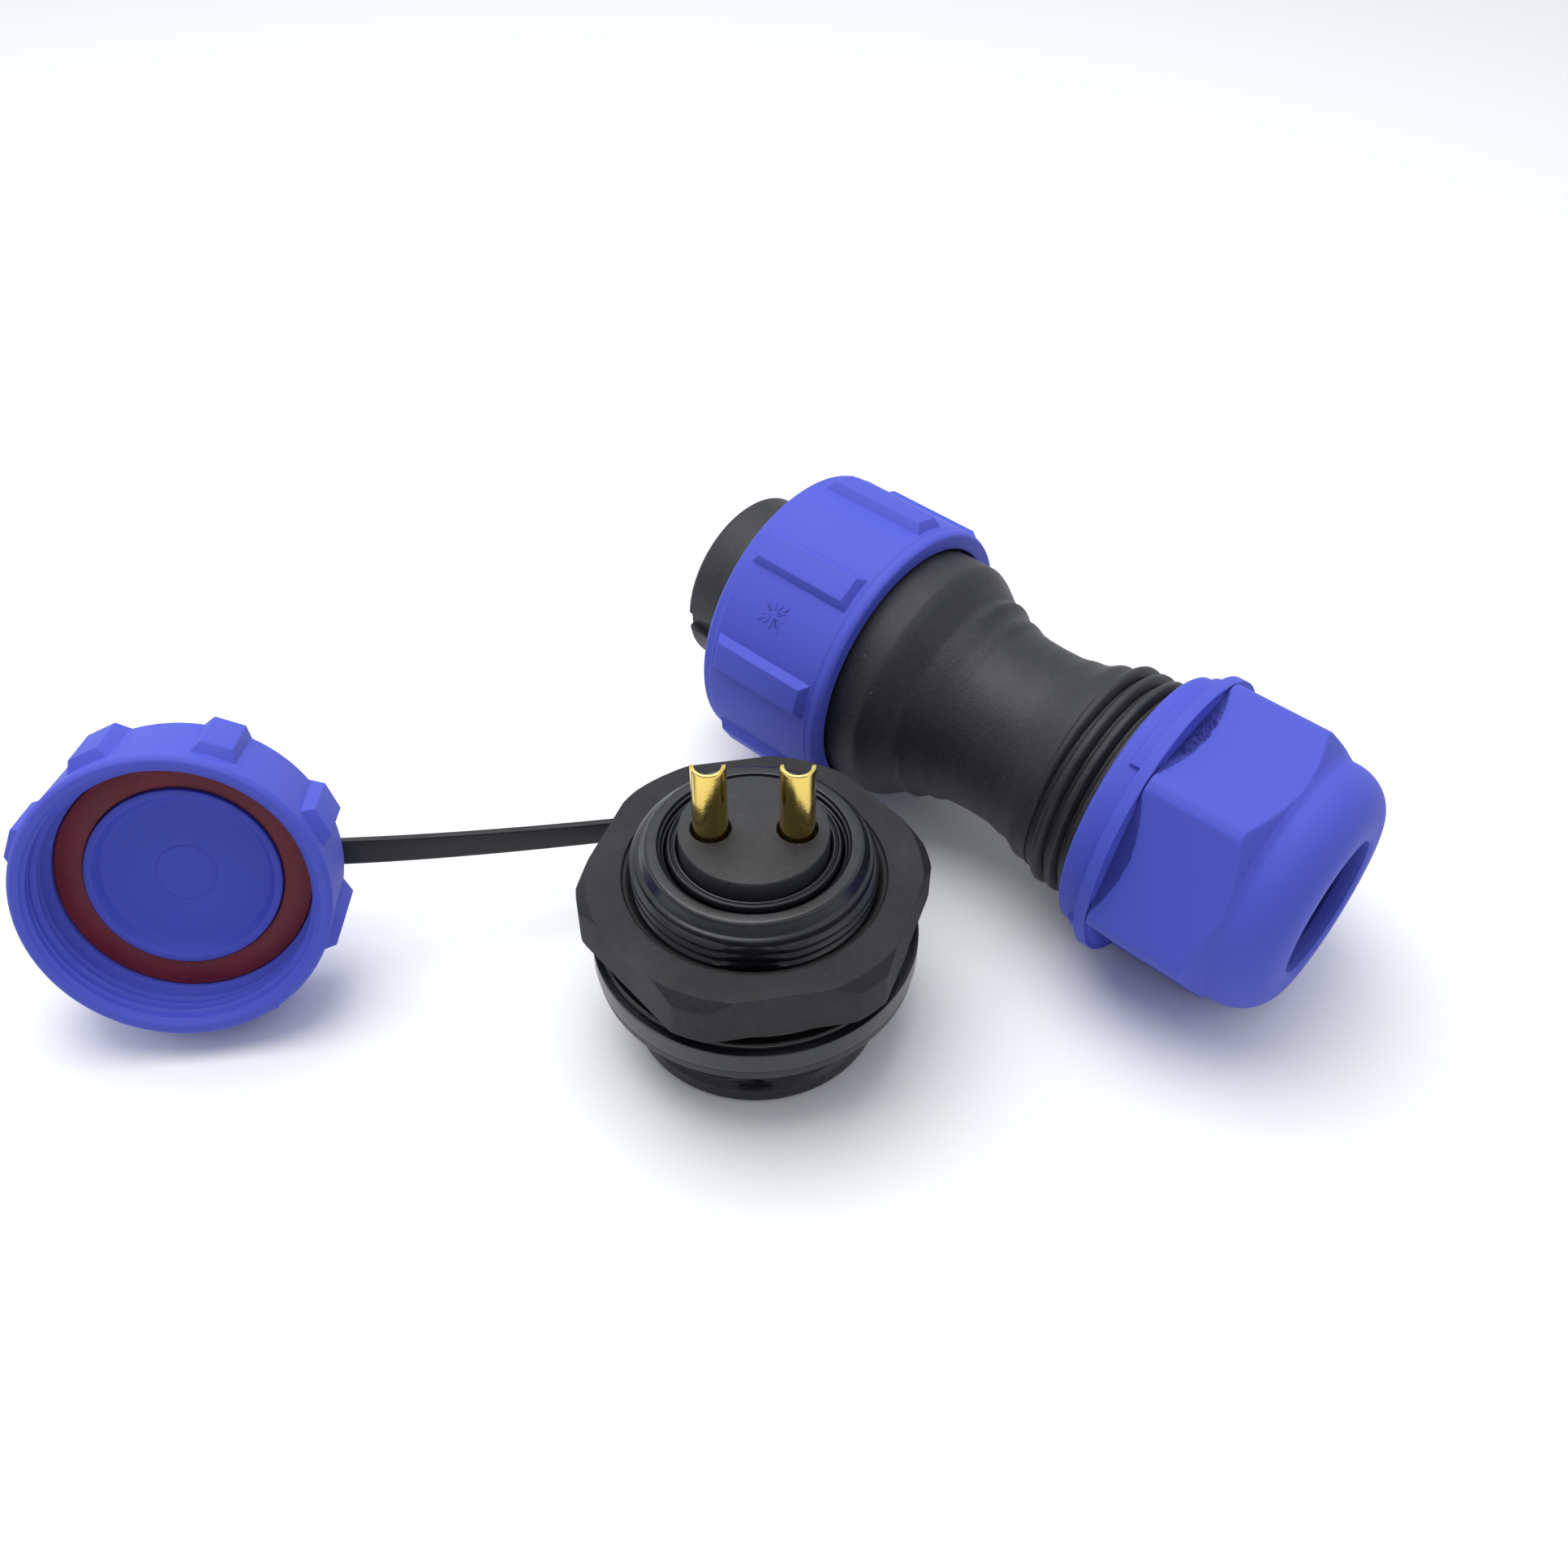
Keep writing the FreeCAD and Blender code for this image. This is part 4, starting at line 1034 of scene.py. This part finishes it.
@dataclass
class CablePlug:
    """Plug: spigot shell, insulator, seals, body and cable clamp."""
    place: Place
    contact_roll: float = 4.0
    spigot_r: float = 8.80
    spigot_end: float = -22.40
    body_r: float = 12.25
    waist_r: float = 8.75
    body_end: float = 30.5
    lug_roll: float = 135.0
    lugs: Sequence[tuple[float, float, float]] = (
        (6.1, 0.42, 0.55), (8.3, 0.22, 0.7), (15.6, 0.12, 0.6), (18.3, 0.3, 0.7))

    def shell(self) -> bpy.types.Mesh:
        """Spigot with its key groove, flange and rear barrel."""
        e = self.spigot_end
        outline = [(7.0, e + 0.3), (7.3, e), (self.spigot_r - 0.4, e), (self.spigot_r, e + 0.4), (self.spigot_r, -7.8),
                   (10.9, -7.8), (10.9, -6.15), (9.9, -6.15), (9.9, -4.15), (9.3, -4.15), (9.3, -3.15), (9.4, -3.15),
                   (9.4, 2.0), (7.8, 2.0), (7.8, -1.0), (7.0, -1.0)]
        turn = about_z(self.contact_roll + 90)
        groove = moved(box_mesh((8.0, -1.05, e - 1), (9.6, 1.05, -11.8)), turn)
        return carved(turned_mesh("shell", rounded(outline, 0.18, True, 3), 128), [groove], 0.1)

    def insulator(self) -> bpy.types.Mesh:
        """Socket carrier with two holes in its face."""
        outline = rounded([(0, -21.4), (6.95, -21.4), (6.95, -1.0), (7.75, -1.0), (7.75, 1.5), (0, 1.5)], 0.2, False)
        cutters = []
        for side in (0, 180):
            at = about_z(self.contact_roll + side) @ Matrix.Translation((3.51, 0, 0))
            hole = turned_mesh("hole", [(0, -22), (1.75, -22), (1.4, -21.1), (1.4, -20.5), (1.93, -20.5), (1.93, 2),
                                        (0, 2)], 40)
            cutters.append(moved(hole, at))
        return carved(turned_mesh("carrier", outline, 128), cutters)

    def body(self) -> list[bpy.types.Mesh]:
        """Waisted body with its mould swellings and the gland thread."""
        outer = [(9.45, -2.9), (self.body_r, -2.9), (self.body_r, 2.1), (11.85, 2.9), (10.25, 5.2), (9.85, 6.3),
                 (9.38, 7.6), (9.02, 9.0), (8.83, 10.4), (self.waist_r, 12.0), (self.waist_r + 0.02, 14.0),
                 (8.92, 15.4), (9.25, 16.8), (9.62, 18.0), (9.92, 19.0), (10.1, 19.8), (10.15, 20.3),
                 (10.2, self.body_end - 0.5), (9.7, self.body_end), (8.6, self.body_end), (8.6, 18.6), (7.2, 17.2),
                 (7.2, 3.2), (9.45, 3.2)]
        outline = densified(rounded(outer, 0.3, True, 4), 0.4, True)
        barrel = turned_mesh("barrel", outline, 224, self.side_lugs)
        ridge = thread_mesh(Radius=10.12, Height=0.86, Base=1.45, Crest=0.55, Pitch=1.5, Turns=6.4, Start=19.75,
                            Phase=2.4)
        return [barrel, ridge]

    def side_lugs(self, r: float, z: float, a: float) -> float:
        """Radius with the soft swellings that the mould leaves along its parting line."""
        if r < 8.7 or not 4.6 < z < 20.0:
            return r
        side = math.cos(a - math.radians(self.lug_roll))
        window = max(0.0, (abs(side) - 0.62) / 0.38) ** 1.5
        swell = sum(height * math.exp(-((z - at) / width) ** 2) for at, height, width in self.lugs)
        return r + swell * min(1.0, 1.6 * window)

    def clamp(self) -> list[bpy.types.Mesh]:
        """Sleeve whose rear end is a circle of separate fingers."""
        sleeve = turned_mesh("sleeve", rounded([(6.55, 19.0), (8.5, 19.0), (8.5, 31.0), (6.55, 31.0)], 0.2, True), 96)
        finger = box_mesh((6.6, -1.75, 30.6), (8.35, 1.75, 38.0), 0.25)
        for v in finger.vertices:
            lean = max(0.0, v.co.z - 33.0) / 5.0
            v.co.x = v.co.x - (0.75 * lean if v.co.x > 7.4 else 0.0)
        fingers = grown(finger, NodesKit.repeat, Count=10, Start=math.radians(18), Step=TAU / 10)
        return [sleeve, fingers]

    def build(self) -> None:
        """Make and place the plug's own pieces."""
        p = self.place
        stand("spigot", [self.shell()], p, SATIN_BLACK, ["plug_shell"], "plug")
        stand("socket_face", [self.insulator()], p, FACE_BLACK, ["plug_insulator"], "plug")
        stand("waist_body", self.body(), p, SATIN_BLACK, ["plug_body"], "plug")
        stand("claw", self.clamp(), p, SATIN_BLACK, ["cable_clamp"], "plug")
        seal = rounded([(4.5, 27.5), (6.45, 27.5), (6.45, 38.0), (6.0, 38.4), (5.0, 38.4), (4.5, 37.9)], 0.3, True)
        stand("grommet", [turned_mesh("grommet", seal, 96)], p, CABLE_SEAL, ["cable_seal"], "plug")
        for node in ("socket_contact_a", "socket_contact_b"):
            dress(node, GOLD)
        dress("plug_face_seal", SEAL_RED)
        dress("body_o_ring", SEAL_BLACK)
        dress("ring_retainer", STEEL)


@dataclass
class CouplingRing:
    """Blue ribbed ring that screws onto the receptacle."""
    place: Place
    outer_r: float = 14.20
    rib_r: float = 14.95
    front: float = -15.5
    rear: float = -1.20
    bore_r: float = 11.12
    roll: float = 31.0
    rib_count: int = 8
    gate_azimuth: float = 52.0
    gate_s: float = -9.0

    def gate_mark(self) -> bpy.types.Mesh:
        """Small starburst scar that the mould's gate leaves."""
        blade = frustum_mesh((-0.04, 0.14, 0.28, 1.25), (0.04, 0.03, 0.42, 1.0), 0.01)
        blade.transform(Matrix(((0, 0, 1, 0), (0, 1, 0, 0), (-1, 0, 0, 0), (0, 0, 0, 1))))
        star = grown(blade, NodesKit.repeat, Count=9, Start=0.2, Step=TAU / 9)
        long_arms = grown(moved(blade.copy(), Matrix.Scale(1.35, 4, (1, 0, 0))), NodesKit.repeat, Count=4, Start=0.55,
                          Step=1.7)
        dimple = rounded([(0.0, -0.05), (0.42, -0.05), (0.42, 0.05), (0.2, 0.07), (0, 0.03)], 0.05, False)
        dimple = turned_mesh("dimple", dimple, 24)
        turn = about_z(self.gate_azimuth)
        lay = Matrix.Translation((self.outer_r, 0, self.gate_s)) @ Matrix.Rotation(math.pi / 2, 4, "Y")
        return moved(joined([star, long_arms, dimple], "gate"), turn @ lay)

    def build(self) -> None:
        """Make and place the ring."""
        f, r = self.front, self.rear
        outline = [(self.bore_r + 0.4, f), (self.outer_r - 0.55, f), (self.outer_r - 0.1, f + 0.4),
                   (self.outer_r - 0.08, f + 1.2), (self.outer_r, f + 1.3), (self.outer_r, r - 1.15),
                   (self.outer_r - 0.06, r - 1.05), (self.outer_r - 0.06, r - 0.4),
                   (self.outer_r - 0.3, r), (12.5, r), (12.5, -4.2), (10.0, -4.2), (10.0, -6.0),
                   (self.bore_r + 0.45, -6.0), (self.bore_r + 0.45, f + 0.9)]
        body = turned_mesh("ring", rounded(outline, 0.18, True), 224)
        rib = frustum_mesh((self.outer_r - 0.6, 2.15, f + 1.35, -2.35), (self.rib_r, 1.3, f + 2.3, -3.3), 0.09)
        ribs = grown(rib, NodesKit.repeat, Count=self.rib_count, Start=math.radians(self.roll),
                     Step=TAU / self.rib_count)
        thread = thread_mesh(Radius=self.bore_r + 0.47, Height=0.46, Side=-1.0, Base=0.80, Crest=0.28, Pitch=1.0,
                             Turns=6.5, Start=f + 1.4)
        stand("grip_ring", [body, ribs, thread, self.gate_mark()], self.place, BLUE_NYLON, ["coupling_ring"], "coupler")


@dataclass
class GlandNut:
    """Blue domed gland nut and the slip ring inside it."""
    place: Place
    across: float = 24.2
    roll: float = 8.0
    front: float = 25.0
    flange: Point = (27.6, 28.7)
    flange_r: float = 13.67
    skirt_r: float = 12.4
    dome: float = 38.4
    end: float = 44.1
    bore_r: float = 11.02
    hole_r: float = 6.40
    strip_roll: float = -66.0

    def shape(self, r: float, z: float, a: float) -> float:
        """Radius with the hexagon and the raised skirt segments."""
        if r < 11.3:
            return r
        if z < self.flange[0] - 0.02:
            lobe = (a - math.radians(self.strip_roll)) % math.pi
            on_strip = lobe < 1.75 and z > self.flange[0] - 1.35
            return r + 0.42 if on_strip else r
        return hexagonal(self.across, self.roll, self.flange[1] + 0.06, 42.0, 11.9)(r, z, a)

    def build(self) -> None:
        """Make and place the nut and its slip ring."""
        f0, f1 = self.flange
        outline = [(self.bore_r + 0.4, self.front), (self.skirt_r - 0.3, self.front), (self.skirt_r, self.front + 0.3),
                   (self.skirt_r, f0), (self.flange_r, f0), (self.flange_r, f1), (13.0, f1), (12.1, f1 + 1.6),
                   (13.7, f1 + 0.08), (13.7, self.dome - 0.75), (12.1, self.dome + 0.55), (11.8, self.dome + 1.1)]
        outline = rounded(outline, 0.1, False, 3)
        for k in range(1, 19):
            a = math.radians(5 * k)
            outline.append((7.9 + 3.88 * math.cos(a), self.end - 4.1 + 4.1 * math.sin(a)))
        outline += [(self.hole_r + 0.5, self.end), (self.hole_r + 0.1, self.end - 0.2), (self.hole_r, self.end - 0.7),
                    (self.hole_r, 42.6), (7.0, 41.8), (self.bore_r, 35.2), (self.bore_r, self.front + 0.4)]
        nut = turned_mesh("gland", densified(outline, 0.22, True), 360, self.shape)
        stand("dome_nut", [nut], self.place, BLUE_NYLON, ["gland_nut"], "gland")
        dress("gland_slip_ring", SATIN_BLACK)


@dataclass
class Studio:
    """Pale floor, soft lights and the camera."""
    place: Place
    eye: tuple[float, float, float] = (58.93, -64.59, 110.70)
    heading: float = 40.8
    pitch: float = 43.72
    roll: float = 0.21
    lens: float = 35.40
    floor: tuple[float, float, float] = (0.93, 0.93, 0.93)
    lights: Sequence[tuple] = field(default_factory=lambda: (
        ("overhead", (-75, 10, 315), 290, 0.76), ("left_fill", (-280, -160, 150), 180, 0.08),
        ("right_fill", (260, 80, 190), 180, 0.07)))

    def camera(self) -> None:
        """Place the camera and make it the scene's."""
        data = bpy.data.cameras.new("view")
        data.sensor_width, data.lens, data.clip_start = 36.0, self.lens, 0.005
        obj = bpy.data.objects.new("view", data)
        turn = about_z(self.heading)
        tilt = Matrix.Rotation(math.radians(90 - self.pitch), 4, "X")
        lean = about_z(self.roll)
        obj.matrix_world = Matrix.Translation(self.place.point(*self.eye)) @ turn @ tilt @ lean
        bpy.context.scene.collection.objects.link(obj)
        bpy.context.scene.camera = obj

    def floor_plane(self) -> None:
        """A wide pale floor that everything stands on."""
        bm = bmesh.new()
        bmesh.ops.create_grid(bm, x_segments=8, y_segments=8, size=2.0)
        mesh = mesh_from(bm, "floor")
        material = bpy.data.materials.new("paper")
        material.use_nodes = True
        shade = Shade(material.node_tree)
        surface = material.node_tree.nodes["Principled BSDF"]
        spot = shade.add("ShaderNodeTexCoord").outputs["Object"]
        drift = shade.noise(spot, 9.0, 2.0)
        low = tuple(c * 0.985 for c in self.floor) + (1.0,)
        shade.tree.links.new(shade.mixed(drift, low, self.floor + (1.0,)), surface.inputs["Base Color"])
        surface.inputs["Roughness"].default_value = 0.75
        mesh.materials.append(material)
        obj = bpy.data.objects.new("floor", mesh)
        bpy.context.scene.collection.objects.link(obj)

    def lighting(self) -> None:
        """Large soft lights and an even world."""
        for name, spot, size, power in self.lights:
            data = bpy.data.lights.new(name, "AREA")
            data.shape, data.size, data.energy = "DISK", size * MM, power
            obj = bpy.data.objects.new(name, data)
            obj.location = Vector(spot) * MM
            obj.rotation_euler = (-obj.location).to_track_quat("-Z", "Y").to_euler()
            bpy.context.scene.collection.objects.link(obj)
        world = bpy.data.worlds.new("soft_room")
        world.use_nodes = True
        shade = Shade(world.node_tree)
        heading = shade.add("ShaderNodeTexCoord").outputs["Generated"]
        beyond = shade.add("ShaderNodeVectorMath", {0: heading, 1: (-0.42, 0.49, 0.76)}, operation="DOT_PRODUCT")
        level = shade.ranged(beyond.outputs["Value"], -0.15, 0.85, 0.0, 1.0)
        sky = shade.mixed(level, (0.30, 0.31, 0.34, 1.0), (0.90, 0.93, 0.97, 1.0))
        shade.tree.links.new(sky, world.node_tree.nodes["Background"].inputs["Color"])
        bpy.context.scene.world = world
        bpy.context.scene.view_settings.view_transform = "Standard"

    def build(self) -> None:
        """Set the camera, floor and lights."""
        self.camera()
        self.floor_plane()
        self.lighting()


def main() -> None:
    """Build every sub-assembly in order."""
    logging.basicConfig(level=logging.INFO, format="%(message)s")
    upright = Vector((0, 0, 1))
    panel = joint_place("nut_turn", NUT_JOINT_HEIGHT, Vector((1, 0, 0)))
    plug = joint_place("coupling_turn", COUPLER_JOINT_BACK, upright)
    cap = joint_place("cap_spin", 0.0, upright, CAP_ROLL)
    Receptacle(panel).build()
    PanelNut(panel).build()
    Tether(panel, cap).build()
    DustCap(cap).build()
    CablePlug(plug).build()
    CouplingRing(plug).build()
    GlandNut(plug).build()
    Studio(panel).build()


if __name__ == "__main__":
    main()
